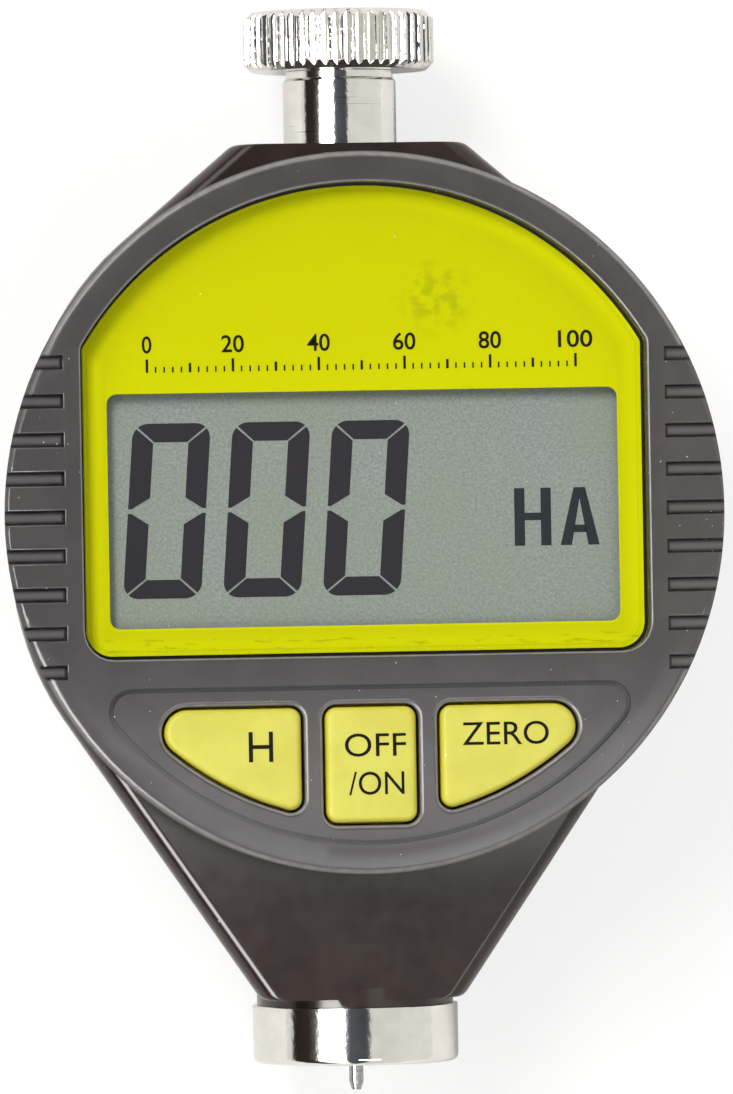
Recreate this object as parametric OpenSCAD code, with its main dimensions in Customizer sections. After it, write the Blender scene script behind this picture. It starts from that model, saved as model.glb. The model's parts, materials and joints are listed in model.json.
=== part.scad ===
// Pocket digital rubber hardness gauge, lying on its back.
// X runs to the right of the display, Y towards the knob and Z out of the display.
// The origin lies on the back plane, under the centre of the round bezel. Sizes are in millimetres.

/* [Body casting] */
// Radius of the round middle of the body, where its flanks meet it
body_r = 31.1; // [30.4:0.1:32.4]
// How much that middle draws in at its sides, behind the bezel
side_in = 0.9; // [0:0.1:1.2]
// Depth of the body, from its back to the face under the bezel
body_t = 18.4; // [17.8:0.1:20]
// How far the widest line of the body lies below its face
belly_drop = 2; // [1.4:0.1:4]
// Slope of the flanks towards the back, in degrees
flank_draft = 6.5; // [4:0.5:8]
// Rounding of the front edge, measured inwards
front_round = 1.4; // [0.8:0.1:2]
// Chamfer of the back edge
back_chamfer = 0.8; // [0.4:0.1:1.2]
// How far the lug's top face stands out from the round middle
lug_out = 1.1; // [0.8:0.1:3]
// Half width of the lug's top face, before its corners are rounded
lug_half = 11.1; // [9.5:0.1:12]
// Corner radius of the lug
lug_round = 1.5; // [1:0.1:2.5]
// How far the neck's end face stands out from the round middle
neck_out = 11.2; // [10:0.1:14]
// Half width of the neck's end face, before its corners are rounded
neck_half = 9.4; // [8.5:0.1:10.5]
// Corner radius of the neck
neck_round = 1.2; // [0.8:0.1:2]
// Diameter of the turned collar at the end of the neck
collar_d = 17.2; // [15:0.1:17.8]
// Length of that collar
collar_len = 0.7; // [0.5:0.1:2]
// Thickness of the wall round the pocket for the works, at the widest line
pocket_wall = 5.1; // [4.5:0.1:5.5]
// Thickness of the pocket's floor
floor_t = 2.6; // [2.2:0.1:3]
// How far the flat seats of the bushes stand in from the pocket's wall
seat_in = 2.4; // [1.6:0.1:3]
// How far those seats reach beyond the flanges of the bushes
seat_margin = 1.3; // [0.8:0.1:2]

/* [Bezel] */
// Largest diameter of the bezel
bezel_d = 62.4; // [61.6:0.1:65]
// Thickness of the bezel's rim at its widest line
rim_wall = 3.2; // [2.8:0.1:3.4]
// How much the rim narrows from its widest line to the body
rim_taper = 1; // [0:0.1:1.2]
// Rounding of the outer edge
edge_round = 0.8; // [0.4:0.1:1.2]
// Width of the sloping band inside the rounded edge
crown_w = 1.6; // [0.8:0.1:2]
// How far that band slopes down
crown_drop = 0.25; // [0.1:0.05:0.5]
// Width of the flat land beside the window, before the sides of the face slope
side_land = 1; // [0.5:0.1:2]
// Slope of the sides, in degrees
side_slope = 4; // [2:0.5:6]
// Number of grip grooves on each side
grip_count = 9; // [5:2:11]
// Spacing of the grip grooves
grip_pitch = 3.33; // [2.5:0.01:3.6]
// Width of a grip groove
grip_w = 1.12; // [0.8:0.01:1.4]
// Depth of a grip groove
grip_depth = 0.6; // [0.4:0.05:0.8]
// How much a grip groove narrows towards its floor, on each side
grip_draft = 0.1; // [0:0.05:0.2]
// Rounding of a grip groove's lip
grip_lip = 0.2; // [0.1:0.05:0.3]
// Width of the sloping side before the grip grooves begin
grip_in = 0.6; // [0.3:0.1:2]

/* [Window] */
// Width of the rim round the arched top of the window recess
window_rim = 2.7; // [2.2:0.1:3.4]
// Width of the mask beside the view
mask_side = 2.35; // [1.8:0.05:2.6]
// Distance of the recess's bottom edge below the middle
window_bottom = 12.3; // [11.6:0.1:12.8]
// Corner radius at the bottom of the recess
window_corner = 2.5; // [1.5:0.1:4]
// Rounding where the arch meets the sides
window_shoulder = 1.2; // [0.8:0.1:2]
// Rounding of the recess's lip
window_lip = 0.25; // [0.1:0.05:0.4]
// Gap round the lens
lens_gap = 0.2; // [0.1:0.05:0.4]
// Thickness of the lens
lens_t = 1.2; // [0.8:0.1:2]
// How far the lens lies below the face of the bezel
lens_sink = 1.1; // [0.5:0.1:1.6]
// Width of the bevel round the lens
lens_bevel = 0.5; // [0.2:0.05:0.7]
// Thickness of the printed mask behind the lens
print_t = 0.1; // [0.05:0.05:0.2]
// Thickness of the floor behind the mask
window_floor = 1.2; // [0.8:0.1:1.6]
// Width of the view through the mask
view_w = 44.3; // [40:0.1:44.6]
// Height of the view through the mask
view_h = 20.25; // [18:0.05:20.5]
// Height of the view's middle above the middle of the bezel
view_y = 0.42; // [0:0.01:0.6]
// Corner radius of the view
view_corner = 0.9; // [0.4:0.1:1.5]
// How much larger the floor's opening is than the view, on each side
view_margin = 0.4; // [0.2:0.1:0.6]

/* [Display and board] */
// Width of the display glass
glass_w = 46; // [45.8:0.1:46.2]
// Height of the display glass
glass_h = 24; // [23:0.1:24.2]
// Thickness of each of the two glass sheets
glass_t = 1; // [0.7:0.1:1.2]
// Height of the contact ledge at the top and bottom of the glass
ledge_h = 1.2; // [1:0.1:1.5]
// Height of the rubber contact strips
zebra_h = 2.8; // [2.4:0.1:3.2]
// Length of the rubber contact strips
zebra_w = 40; // [30:0.5:44]
// Wall of the frame round the glass
frame_wall = 0.7; // [0.5:0.1:0.8]
// Space between the circuit board and the bezel's rim
board_gap = 0.7; // [0.4:0.1:0.9]
// Thickness of the circuit board
board_t = 1; // [0.8:0.1:1.6]
// Space between the board and the body's front face
board_clear = 0.2; // [0.1:0.1:0.5]
// Side of the controller chip
chip_w = 7; // [5:0.1:9]
// Thickness of the controller chip
chip_t = 1.4; // [1:0.1:1.8]
// Place of the controller chip
chip_at = [15, 3];

/* [Keys] */
// Distance of the keys' upper edge below the lower case screws
key_drop = 1.82; // [1.7:0.01:2.6]
// Distance of the side keys' inner edge from the middle
side_key_in = 6.1; // [5.9:0.1:7]
// Width of the panel beyond the side keys
key_rim = 2.2; // [2:0.1:2.8]
// Radius of the side keys' outer nose
key_nose = 1.9; // [1.5:0.1:2.4]
// Radius of the side keys' inner corners
key_corner = 0.9; // [0.7:0.1:1.4]
// Width of the middle key
mid_key_w = 7.7; // [6.5:0.1:8]
// Width of the panel beyond the middle key
mid_key_rim = 2; // [1.9:0.1:3.6]
// Corner radius of the middle key
mid_key_corner = 0.9; // [0.7:0.1:1.4]
// Gap round a key
key_gap = 0.3; // [0.15:0.05:0.4]
// Rounding of a key's upper edge
key_round = 0.55; // [0.2:0.05:0.65]
// Rounding of the lip of a key's hole
lip_round = 0.45; // [0.2:0.05:0.6]
// How far a key stands above the face
key_proud = 0.2; // [0:0.05:0.8]
// Width of the flange that holds a key in
key_flange = 0.7; // [0.5:0.1:0.8]
// Thickness of that flange
key_flange_t = 0.7; // [0.5:0.1:0.9]
// Play above the flange
key_play = 0.1; // [0.05:0.05:0.2]
// Travel of a key
key_travel = 0.4; // [0.2:0.05:0.5]
// Width of the rim round the key panel
panel_rim = 2.6; // [2.2:0.1:3.2]
// Width of the panel above the keys
panel_margin = 2; // [1.2:0.1:2.4]
// Corner radius of the panel
panel_corner = 2; // [1:0.1:3]
// Width of the groove round the panel
groove_w = 0.4; // [0.2:0.05:0.6]
// Depth of that groove
groove_depth = 0.45; // [0.1:0.05:0.6]
// Distance of a side key's switch from the key's curved edge
side_switch_in = 2.9; // [2.6:0.1:4]
// Direction of that switch below the X axis, in degrees
side_switch_angle = 61.3; // [59:0.1:63]
// Distance of the middle key's switch from the key's upper edge
mid_switch_drop = 4.9; // [4:0.1:6]
// Side of a switch housing
switch_w = 4.5; // [4:0.1:5]
// Height of a switch housing
switch_h = 1.4; // [1.2:0.1:1.6]
// Floor of a switch housing under its plunger
switch_floor = 0.3; // [0.2:0.1:0.4]
// Diameter of a switch plunger
plunger_d = 2; // [1.5:0.1:2.5]
// How far a plunger stands out of its housing
plunger_out = 0.8; // [0.7:0.1:1]
// Diameter of the boss under a key
key_boss_d = 3; // [2:0.1:4]

/* [Case screws] */
// Distance of the case screws from the inside of the bezel's rim
screw_inset = 3.5; // [3.2:0.1:4]
// Space between the display's frame and the bosses of the upper case screws
up_screw_gap = 2.15; // [0.3:0.05:3]
// Space between the display's frame and the bosses of the lower case screws
low_screw_gap = 0.35; // [0.2:0.05:0.5]
// Diameter of a case screw
screw_d = 2; // [1.6:0.1:2.4]
// Diameter of its head
screw_head_d = 3.8; // [3:0.1:4]
// Thickness of its head
screw_head_t = 1.5; // [1:0.1:1.8]
// How deep the head lies below the back
screw_head_sink = 0.4; // [0.2:0.1:0.8]
// Thread length in the bezel's boss
screw_bite = 3.2; // [2:0.1:3.5]
// Diameter of the bezel's screw bosses
screw_boss_d = 4.4; // [3.8:0.1:4.6]
// Diameter of the body's screw columns
column_d = 6; // [5:0.1:6.4]

/* [Stem and knob] */
// Diameter of the stem
stem_d = 9.9; // [9:0.1:10.5]
// Length of the stem above the lug
stem_len = 5.9; // [4:0.1:8]
// Diameter of the stem's spigot in the lug
stem_spigot_d = 8; // [7.5:0.1:8.5]
// Thickness of the stem's floor under the hole for the stud
stem_floor = 0.6; // [0.4:0.1:1.2]
// Chamfer of the stem's upper edge
stem_chamfer = 0.2; // [0.2:0.1:0.6]
// Diameter of the washer under the knob
washer_d = 9.4; // [8:0.1:9.8]
// Thickness of that washer
washer_t = 0.7; // [0.4:0.1:1]
// Diameter of the knob
knob_d = 16.7; // [14:0.1:18]
// Height of the knob
knob_h = 5.2; // [4:0.1:8]
// Number of teeth of the knob's knurl
knob_teeth = 50; // [36:2:60]
// Depth of the knurl
knurl_depth = 0.5; // [0.3:0.05:0.7]
// Width of a tooth's flat crest
crest_w = 0.25; // [0.15:0.05:0.4]
// Chamfer of the knob's rims
knob_chamfer = 0.7; // [0.3:0.1:1]
// Diameter of the knob's stud
stud_d = 5.6; // [4:0.1:6]

/* [Foot and indenter] */
// Diameter of the presser foot
foot_d = 18; // [17:0.1:19]
// Height of the presser foot
foot_h = 5.05; // [4:0.05:6]
// Rounding of the foot's lower edge
foot_round = 0.6; // [0.3:0.1:1]
// Diameter of the foot's hole
foot_hole_d = 3; // [2.5:0.1:3.2]
// Thickness of the foot round that hole
foot_floor = 2.2; // [1.5:0.1:3]
// Diameter of the foot's spigot in the neck
foot_spigot_d = 11; // [10:0.1:12]
// Space between that spigot and the lower bush
spigot_gap = 1.6; // [1:0.1:3]
// Diameter of the well above the foot's hole
foot_well_d = 5.4; // [5.2:0.1:6.5]
// Space under the foot while the gauge lies on its back
foot_lift = 1; // [0.6:0.1:1.5]
// Diameter of the indenter
indenter_d = 1.25; // [1.15:0.01:1.4]
// Diameter of its flat tip
tip_d = 0.79; // [0.75:0.01:0.82]
// Angle of its cone, in degrees
tip_angle = 35; // [30:1:40]
// How far it comes out of the foot
reach = 2.5; // [2.4:0.01:2.6]
// How deep it is set in the spindle
indenter_set = 5; // [3:0.1:7]

/* [Works] */
// Diameter of the spindle
spindle_d = 4; // [3.5:0.1:4.4]
// Space between the spindle's nose and the floor of the foot's well
nose_gap = 0.4; // [0.2:0.1:1]
// Chamfer of the spindle's ends
spindle_chamfer = 0.4; // [0.2:0.1:0.6]
// Outer diameter of the bushes
bush_d = 8; // [7:0.1:8.4]
// Diameter of the bushes' flanges
bush_flange_d = 11.4; // [10:0.1:12.5]
// Thickness of those flanges
bush_flange_t = 1.2; // [0.8:0.1:1.6]
// Length of the lower bush below its flange
low_bush_len = 12; // [8:0.1:12.2]
// Length of the upper bush above its flange
up_bush_len = 3; // [2.5:0.1:3.4]
// How far the spindle reaches into the upper bush
spindle_in_bush = 1.6; // [1:0.1:2]
// Space left between the spindle and the stem when the indenter is pushed right in
over_travel = 0.3; // [0.2:0.1:1]
// Length of the carriage
carriage_len = 15; // [10:0.1:18]
// Diameter of the carriage's hub
hub_d = 9.2; // [8.6:0.1:10]
// Thickness of the carriage's web
web_t = 3; // [2:0.1:4]
// Width of the carriage's table
table_w = 10; // [8:0.1:12]
// Thickness of the carriage's table
table_t = 1.2; // [0.8:0.1:2]
// Width of the scale plate
scale_w = 9; // [7:0.1:10]
// Thickness of the scale plate
scale_t = 0.8; // [0.5:0.1:1]
// Space between scale plate and board
sensor_gap = 0.4; // [0.2:0.05:0.6]
// Space between the carriage and its stop
stop_gap = 0.1; // [0.05:0.05:0.3]
// Diameter of the guide pin
guide_pin_d = 2; // [1.5:0.1:2.5]
// Diameter of the grub screws
grub_d = 2; // [1.6:0.1:2.5]
// Length of the spring seat
spring_seat_len = 3; // [2.4:0.1:5]
// Outer diameter of the main spring
spring_d = 8; // [7.5:0.1:9]
// Diameter of the spring's wire
wire_d = 0.8; // [0.6:0.05:1]
// Number of turns of the spring
spring_turns = 9; // [6:1:10]

/* [Battery] */
// Place of the battery
battery_at = [-15.5, 2];
// Diameter of the button cell
battery_d = 11.6; // [11:0.1:12]
// Thickness of the button cell
battery_t = 5.4; // [3:0.1:6]
// Wall of the battery holder
holder_wall = 1.2; // [0.8:0.1:1.4]
// Thickness of the holder's ceiling
holder_top = 1.1; // [0.8:0.1:1.5]
// Thickness of the contact strips
strip_t = 0.3; // [0.2:0.05:0.4]
// Width of the contact strips
strip_w = 2; // [1.5:0.1:3]
// Diameter of the positive contact's pad
pad_d = 5; // [4:0.1:7]
// Diameter of the battery cap
cap_d = 15.4; // [15.2:0.1:16.5]
// Thickness of the battery cap's disc
cap_t = 1; // [0.8:0.1:1.4]
// How deep the cap lies below the back
cap_sink = 0.2; // [0.1:0.05:0.4]
// Diameter of the cap's plug
plug_d = 12.9; // [12:0.1:13.4]
// How far the cap's bayonet tabs stand out
tab_out = 1.2; // [0.8:0.1:1.3]
// Width of those tabs
tab_w = 3; // [2:0.1:4]
// Thickness of those tabs
tab_t = 0.8; // [0.6:0.1:1]
// Turn of the cap from locked to open, in degrees
cap_turn = 60; // [45:5:80]
// Width of the cap's coin slot
coin_slot_w = 1.6; // [1.2:0.1:2]
// Depth of the cap's coin slot
coin_slot_depth = 0.7; // [0.4:0.1:0.7]
// Length of the cap's coin slot
coin_slot_len = 11; // [8:0.1:13]

/* [Fits] */
// Radial clearance of pieces that slide or turn in each other
run_gap = 0.04; // [0.02:0.01:0.08]
// Clearance of pieces that are fixed in each other
fit_gap = 0.02; // [0.01:0.01:0.05]
// Clearance of pieces that lie loosely in each other
loose_gap = 0.15; // [0.1:0.05:0.3]

/* [Hidden] */
$fn = 96;
// Overshoot of cuts, so that no cut ends on a face
cut = 1;

// Heights above the back, from the board up to the face of the bezel
axis_z = foot_d / 2 + foot_lift;
board_z = body_t + board_clear;
board_top = board_z + board_t;
sheet_z = board_top + zebra_h;
face_in_z = sheet_z + glass_t;
print_z = face_in_z + window_floor;
lens_z = print_z + print_t;
lens_top = lens_z + lens_t;
front_z = lens_top + lens_sink;
key_z = front_z + key_proud;
flange_top = face_in_z - key_play;
flange_z = flange_top - key_flange_t;
switch_top = board_top + switch_h;
plunger_top = switch_top + plunger_out;
plunger_z = board_top + switch_floor + key_travel + run_gap;

// Outline of the body: tangent points of the flanks on the round middle, and how its corners move
belly_z = body_t - belly_drop;
lug_y = body_r + lug_out;
neck_y = body_r + neck_out;
pocket_r = body_r - pocket_wall;
seat_half = bush_flange_d / 2 + seat_margin;
back_inset = (belly_z - back_chamfer) * tan(flank_draft);
lug_c = [lug_half - lug_round, lug_y - lug_round];
lug_a = atan2(lug_c[1], lug_c[0]) - acos((body_r - lug_round) / norm(lug_c));
lug_v = [-1 / cos(lug_a), 0];
neck_c = [neck_half - neck_round, neck_round - neck_y];
neck_a = atan2(neck_c[1], neck_c[0]) + acos((body_r - neck_round) / norm(neck_c));
neck_v = [-1 / cos(neck_a), 0];
arc_steps = 26;
corner_steps = 6;
round_steps = 4;

// Bezel, window, key panel, display and board
bezel_r = bezel_d / 2;
bezel_in_r = bezel_r - rim_wall;
widest_z = front_z - crown_drop - edge_round;
window_r = bezel_r - window_rim;
window_half = view_w / 2 + mask_side;
side_break = window_half + side_land;
panel_r = bezel_r - panel_rim;
side_key_r = panel_r - key_rim;
mid_key_bottom = panel_r - mid_key_rim;
board_r = bezel_in_r - board_gap;
frame_x = glass_w / 2 + loose_gap + frame_wall;
frame_y = glass_h / 2 + loose_gap + frame_wall;
screw_ring_r = bezel_in_r - screw_inset;
up_screw_y = view_y + frame_y + up_screw_gap + screw_boss_d / 2;
low_screw_y = view_y - frame_y - low_screw_gap - screw_boss_d / 2;
key_top = key_drop - low_screw_y;
panel_top = key_top - panel_margin;
side_switch_at = (side_key_r - side_switch_in) * [cos(side_switch_angle), -sin(side_switch_angle)];
mid_switch_at = [0, -key_top - mid_switch_drop];

// Places along the Y axis
foot_top_y = -(neck_y + collar_len);
foot_y = foot_top_y - foot_h;
well_y = foot_y + foot_floor;
nose_y = well_y + nose_gap;
tip_y = foot_y - reach;
low_seat_y = -(pocket_r - seat_in);
spigot_y = low_seat_y - low_bush_len - spigot_gap;
up_seat_y = pocket_r - seat_in;
carriage_y = low_seat_y + bush_flange_t + stop_gap;
spring_seat_y = carriage_y + carriage_len;
spring_y = spring_seat_y + spring_seat_len;
spring_end_y = up_seat_y - bush_flange_t;
spindle_end_y = up_seat_y + spindle_in_bush;
stem_y = spindle_end_y + reach + over_travel;
stem_end_y = lug_y + stem_len;
stud_hole_y = stem_y + stem_floor;
knob_y = stem_end_y + washer_t;

// Works
table_z = board_z - sensor_gap - scale_t;
hub_z = axis_z - hub_d / 2;
pin_top = axis_z - spindle_d / 2 - 2 * loose_gap - spindle_chamfer;
pin_slot_top = pin_top + loose_gap;
pin_y = carriage_y + carriage_len / 2;
pin_set = floor_t / 2;
seat_grub_y = spring_seat_y + spring_seat_len / 2;
grub_end = sqrt(hub_d * hub_d - grub_d * grub_d) / 2;

// Battery
cap_seat_z = cap_sink + cap_t;
plug_r = plug_d / 2;
tab_r = plug_r + tab_out;
tab_z = floor_t + loose_gap;
plug_top = tab_z + tab_t;
leaf_z = plug_top + loose_gap;
battery_z = leaf_z + strip_t;
battery_top = battery_z + battery_t;
holder_in_r = battery_d / 2 + loose_gap;
holder_r = tab_r + loose_gap + holder_wall;
holder_end = battery_top + strip_t + holder_top;
riser_y = battery_d / 2 + loose_gap;

screw_places = [for (s = [-1, 1], y = [up_screw_y, low_screw_y])
    [s * sqrt(screw_ring_r * screw_ring_r - y * y), y]];
head_seat_z = screw_head_sink + screw_head_t;

// Points on an arc about c, from angle a0 to a1
function arc(c, r, a0, a1, n) = [for (i = [0:n]) let (a = a0 + (a1 - a0) * i / n) c + r * [cos(a), sin(a)]];

// A right half outline, closed by its mirror image
function both_sides(p) = concat(p, [for (i = [len(p) - 1:-1:0]) [-p[i][0], p[i][1]]]);

// An outline seen in a mirror, with its sense of turning kept
function mirrored(p) = [for (i = [len(p) - 1:-1:0]) [-p[i][0], p[i][1]]];

// Right side of the body's round middle, moved in by d
function side_arc(d) = [for (i = [0:arc_steps]) let (
    a = neck_a + (lug_a - neck_a) * i / arc_steps,
    t = 2 * i / arc_steps - 1)
    (body_r - d - side_in * pow(1 - t * t, 2)) * [cos(a), sin(a)]];

// Outline of the body, with its flanks moved in by d
function body_outline(d) = both_sides(concat(
    arc(neck_c + d * neck_v, neck_round, -90, neck_a, corner_steps),
    side_arc(d),
    arc(lug_c + d * lug_v, lug_round, lug_a, 90, corner_steps)));

// Outline of the window recess, moved in by d
function window_outline(d) = let (
    low = [window_half - window_corner, window_corner - window_bottom],
    inner_r = window_r - window_shoulder,
    x = window_half - window_shoulder,
    high = [x, sqrt(inner_r * inner_r - x * x)])
    both_sides(concat(
        arc(low, window_corner - d, -90, 0, corner_steps),
        arc(high, window_shoulder - d, 0, atan2(high[1], high[0]), corner_steps),
        arc([0, 0], window_r - d, atan2(high[1], high[0]), 90, arc_steps)));

// Outline of the key panel, moved in by d
function panel_outline(d) = let (
    inner_r = panel_r - panel_corner,
    y = -panel_top - panel_corner,
    c = [sqrt(inner_r * inner_r - y * y), y])
    both_sides(concat(
        arc([0, 0], panel_r - d, -90, atan2(c[1], c[0]), arc_steps),
        arc(c, panel_corner - d, atan2(c[1], c[0]), 90, corner_steps)));

// Outline of the right key, moved in by d
function side_key_outline(d) = let (
    nose_in = side_key_r - key_nose,
    nose_y = -key_top - key_nose,
    nose_c = [sqrt(nose_in * nose_in - nose_y * nose_y), nose_y],
    low_in = side_key_r - key_corner,
    low_x = side_key_in + key_corner,
    low_c = [low_x, -sqrt(low_in * low_in - low_x * low_x)],
    high_c = [low_x, -key_top - key_corner],
    nose_a = atan2(nose_c[1], nose_c[0]),
    low_a = atan2(low_c[1], low_c[0]))
    concat(
        arc(low_c, key_corner - d, -180, low_a, corner_steps),
        arc([0, 0], side_key_r - d, low_a, nose_a, corner_steps),
        arc(nose_c, key_nose - d, nose_a, 90, 2 * corner_steps),
        arc(high_c, key_corner - d, 90, 180, corner_steps));

// Outline of the middle key, moved in by d
function mid_key_outline(d) = let (
    x = mid_key_w / 2 - mid_key_corner,
    low = mid_key_corner - mid_key_bottom,
    high = -key_top - mid_key_corner,
    r = mid_key_corner - d)
    both_sides(concat(arc([x, low], r, -90, 0, corner_steps), arc([x, high], r, 0, 90, corner_steps)));

// Outline of the view through the mask, grown by d
function view_outline(d) = let (
    x = view_w / 2 - view_corner,
    y = view_h / 2 - view_corner,
    r = view_corner + d)
    both_sides(concat(
        arc([x, view_y - y], r, -90, 0, corner_steps),
        arc([x, view_y + y], r, 0, 90, corner_steps)));

// The points of an outline at height z
function at_z(p, z) = [for (q = p) [q[0], q[1], z]];

// A closed skin through rings of points, all with as many points
module skin(rings) {
    n = len(rings[0]);
    last = len(rings) - 1;
    sides = [for (k = [0:last - 1], i = [0:n - 1])
        [k * n + i, k * n + n + i, k * n + n + (i + 1) % n, k * n + (i + 1) % n]];
    bottom = [for (i = [0:n - 1]) i];
    top = [for (i = [n - 1:-1:0]) last * n + i];
    polyhedron([for (r = rings) each r], concat([bottom, top], sides));
}

// A round bar on the spindle's axis
module bar(d, y0, y1) {
    translate([0, y0, axis_z]) rotate([-90, 0, 0]) cylinder(d = d, h = y1 - y0);
}

// A turned shape on the spindle's axis, from a profile of radius and place along Y
module turned(profile) {
    translate([0, 0, axis_z]) rotate([-90, 0, 0]) rotate_extrude() polygon(profile);
}

// An upright round bar at a place in the plane
module post(at, d, z0, z1) {
    translate([at[0], at[1], z0]) cylinder(d = d, h = z1 - z0);
}

// A box from its lowest to its highest corner
module block(low, high) {
    translate(low) cube(high - low);
}

// An outline as a plate
module plate(p, z0, z1) {
    translate([0, 0, z0]) linear_extrude(z1 - z0) polygon(p);
}

// Flat seat for a bush at one end of the pocket, on side s
module bush_seat(s) {
    wall_y = s * (pocket_r + cut);
    face_y = s * (pocket_r - seat_in);
    block([-seat_half, min(wall_y, face_y), floor_t - cut],
        [seat_half, max(wall_y, face_y), body_t]);
}

// Hole of the battery cap with its two notches for the bayonet tabs
module cap_port() {
    translate([battery_at[0], battery_at[1], -cut]) {
        cylinder(d = cap_d + 2 * loose_gap, h = cut + cap_seat_z);
        cylinder(d = plug_d + 2 * loose_gap, h = cut + floor_t + cut);
        rotate(-cap_turn) intersection() {
            cylinder(r = tab_r + loose_gap, h = cut + floor_t + cut);
            translate([-tab_r - cut, -tab_w / 2 - loose_gap, 0])
                cube([2 * (tab_r + cut), tab_w + 2 * loose_gap, cut + floor_t + cut]);
        }
    }
}

// Body: a casting with drafted flanks, a round pocket and two bored ends
module main_body() {
    front = [for (k = [1:round_steps]) let (a = 90 * k / round_steps)
        at_z(body_outline(front_round * (1 - cos(a))), belly_z + (body_t - belly_z) * sin(a))];
    flanks = [
        at_z(body_outline(back_inset + back_chamfer), 0),
        at_z(body_outline(back_inset), back_chamfer),
        at_z(body_outline(0), belly_z)];
    color([0.20, 0.17, 0.16]) difference() {
        union() {
            difference() {
                skin(concat(flanks, front));
                post([0, 0], 2 * pocket_r, floor_t, body_t + cut);
                post(battery_at, 2 * (holder_r + loose_gap), floor_t, body_t + cut);
            }
            bush_seat(1);
            bush_seat(-1);
            for (p = screw_places) post(p, column_d, floor_t - cut, board_z);
            bar(collar_d, foot_top_y, cut - neck_y);
        }
        bar(foot_spigot_d + 2 * fit_gap, foot_top_y - cut, spigot_y + fit_gap);
        bar(bush_d + 2 * fit_gap, spigot_y, low_seat_y + cut);
        bar(stem_spigot_d + 2 * fit_gap, stem_y - fit_gap, lug_y + cut);
        bar(bush_d + 2 * fit_gap, up_seat_y - cut, stem_y);
        post([0, pin_y], guide_pin_d + 2 * fit_gap, pin_set, floor_t + cut);
        for (p = screw_places) {
            post(p, screw_d + 2 * loose_gap, -cut, board_z + cut);
            post(p, screw_head_d + 2 * loose_gap, -cut, head_seat_z);
        }
        cap_port();
    }
}

// Foot: a turned disc with a rounded edge, a centre hole and a spigot that screws into the neck
module presser_foot() {
    r = foot_d / 2;
    color([0.82, 0.82, 0.80]) turned(concat(
        [[foot_hole_d / 2, foot_y]],
        arc([r - foot_round, foot_y + foot_round], foot_round, -90, 0, corner_steps),
        [[r, foot_top_y], [foot_spigot_d / 2, foot_top_y], [foot_spigot_d / 2, spigot_y],
            [foot_well_d / 2, spigot_y], [foot_well_d / 2, well_y], [foot_hole_d / 2, well_y]]));
}

// Indenter: a hardened pin with a cut-off cone
module indenter() {
    r = indenter_d / 2;
    cone = (r - tip_d / 2) / tan(tip_angle / 2);
    top = nose_y + indenter_set;
    color([0.55, 0.55, 0.56]) turned([[0, tip_y], [tip_d / 2, tip_y], [r, tip_y + cone], [r, top], [0, top]]);
}

// Spindle: a ground shaft with the indenter in its nose
module spindle() {
    r = spindle_d / 2;
    hole = indenter_d / 2 + fit_gap;
    hole_y = nose_y + indenter_set + fit_gap;
    c = spindle_chamfer;
    color([0.72, 0.72, 0.72]) turned([[hole, nose_y], [r - c, nose_y], [r, nose_y + c], [r, spindle_end_y - c],
        [r - c, spindle_end_y], [0, spindle_end_y], [0, hole_y], [hole, hole_y]]);
}

// A flanged bush whose flange lies on a seat at y, with its body on side s of it
module bush(y, s, body_len) {
    face_y = y - s * bush_flange_t;
    end_y = y + s * body_len;
    color([0.75, 0.60, 0.30]) difference() {
        union() {
            bar(bush_flange_d, min(y, face_y), max(y, face_y));
            bar(bush_d, min(face_y, end_y), max(face_y, end_y));
        }
        bar(spindle_d + 2 * run_gap, min(face_y, end_y) - cut, max(face_y, end_y) + cut);
    }
}

module lower_bush() {
    bush(low_seat_y, -1, low_bush_len);
}

module upper_bush() {
    bush(up_seat_y, 1, up_bush_len);
}

// Carriage: a hub clamped on the spindle, with a web and a table for the scale plate
module carriage() {
    y1 = carriage_y + carriage_len;
    slot = guide_pin_d / 2 + run_gap;
    color([0.70, 0.71, 0.73]) difference() {
        union() {
            bar(hub_d, carriage_y, y1);
            block([-web_t / 2, carriage_y, axis_z], [web_t / 2, y1, table_z]);
            block([-table_w / 2, carriage_y, table_z - table_t], [table_w / 2, y1, table_z]);
        }
        bar(spindle_d + 2 * fit_gap, carriage_y - cut, y1 + cut);
        block([-slot, carriage_y - cut, hub_z - cut], [slot, y1 + cut, pin_slot_top]);
        grub_bar(pin_y, grub_d + 2 * fit_gap, 0, hub_d / 2 + cut);
    }
}

// A round bar along X at a place on the spindle's axis, for a grub screw or its hole
module grub_bar(y, d, x0, x1) {
    translate([x0, y, axis_z]) rotate([0, 90, 0]) cylinder(d = d, h = x1 - x0);
}

// Moving plate of the position sensor
module scale_plate() {
    color([0.20, 0.45, 0.25]) block([-scale_w / 2, carriage_y, table_z],
        [scale_w / 2, carriage_y + carriage_len, table_z + scale_t]);
}

// Pin in the floor that keeps the carriage from turning
module guide_pin() {
    color([0.65, 0.65, 0.66]) post([0, pin_y], guide_pin_d, pin_set, pin_top);
}

// Collar on the spindle that the spring presses on
module spring_seat() {
    color([0.75, 0.60, 0.30]) difference() {
        bar(hub_d, spring_seat_y, spring_y);
        bar(spindle_d + 2 * fit_gap, spring_seat_y - cut, spring_y + cut);
        grub_bar(seat_grub_y, grub_d + 2 * fit_gap, 0, hub_d / 2 + cut);
    }
}

// Grub screws of the carriage and of the spring seat
module grub_screws() {
    color([0.25, 0.25, 0.26]) {
        for (y = [pin_y, seat_grub_y]) grub_bar(y, grub_d, spindle_d / 2 + fit_gap, grub_end);
    }
}

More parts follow.
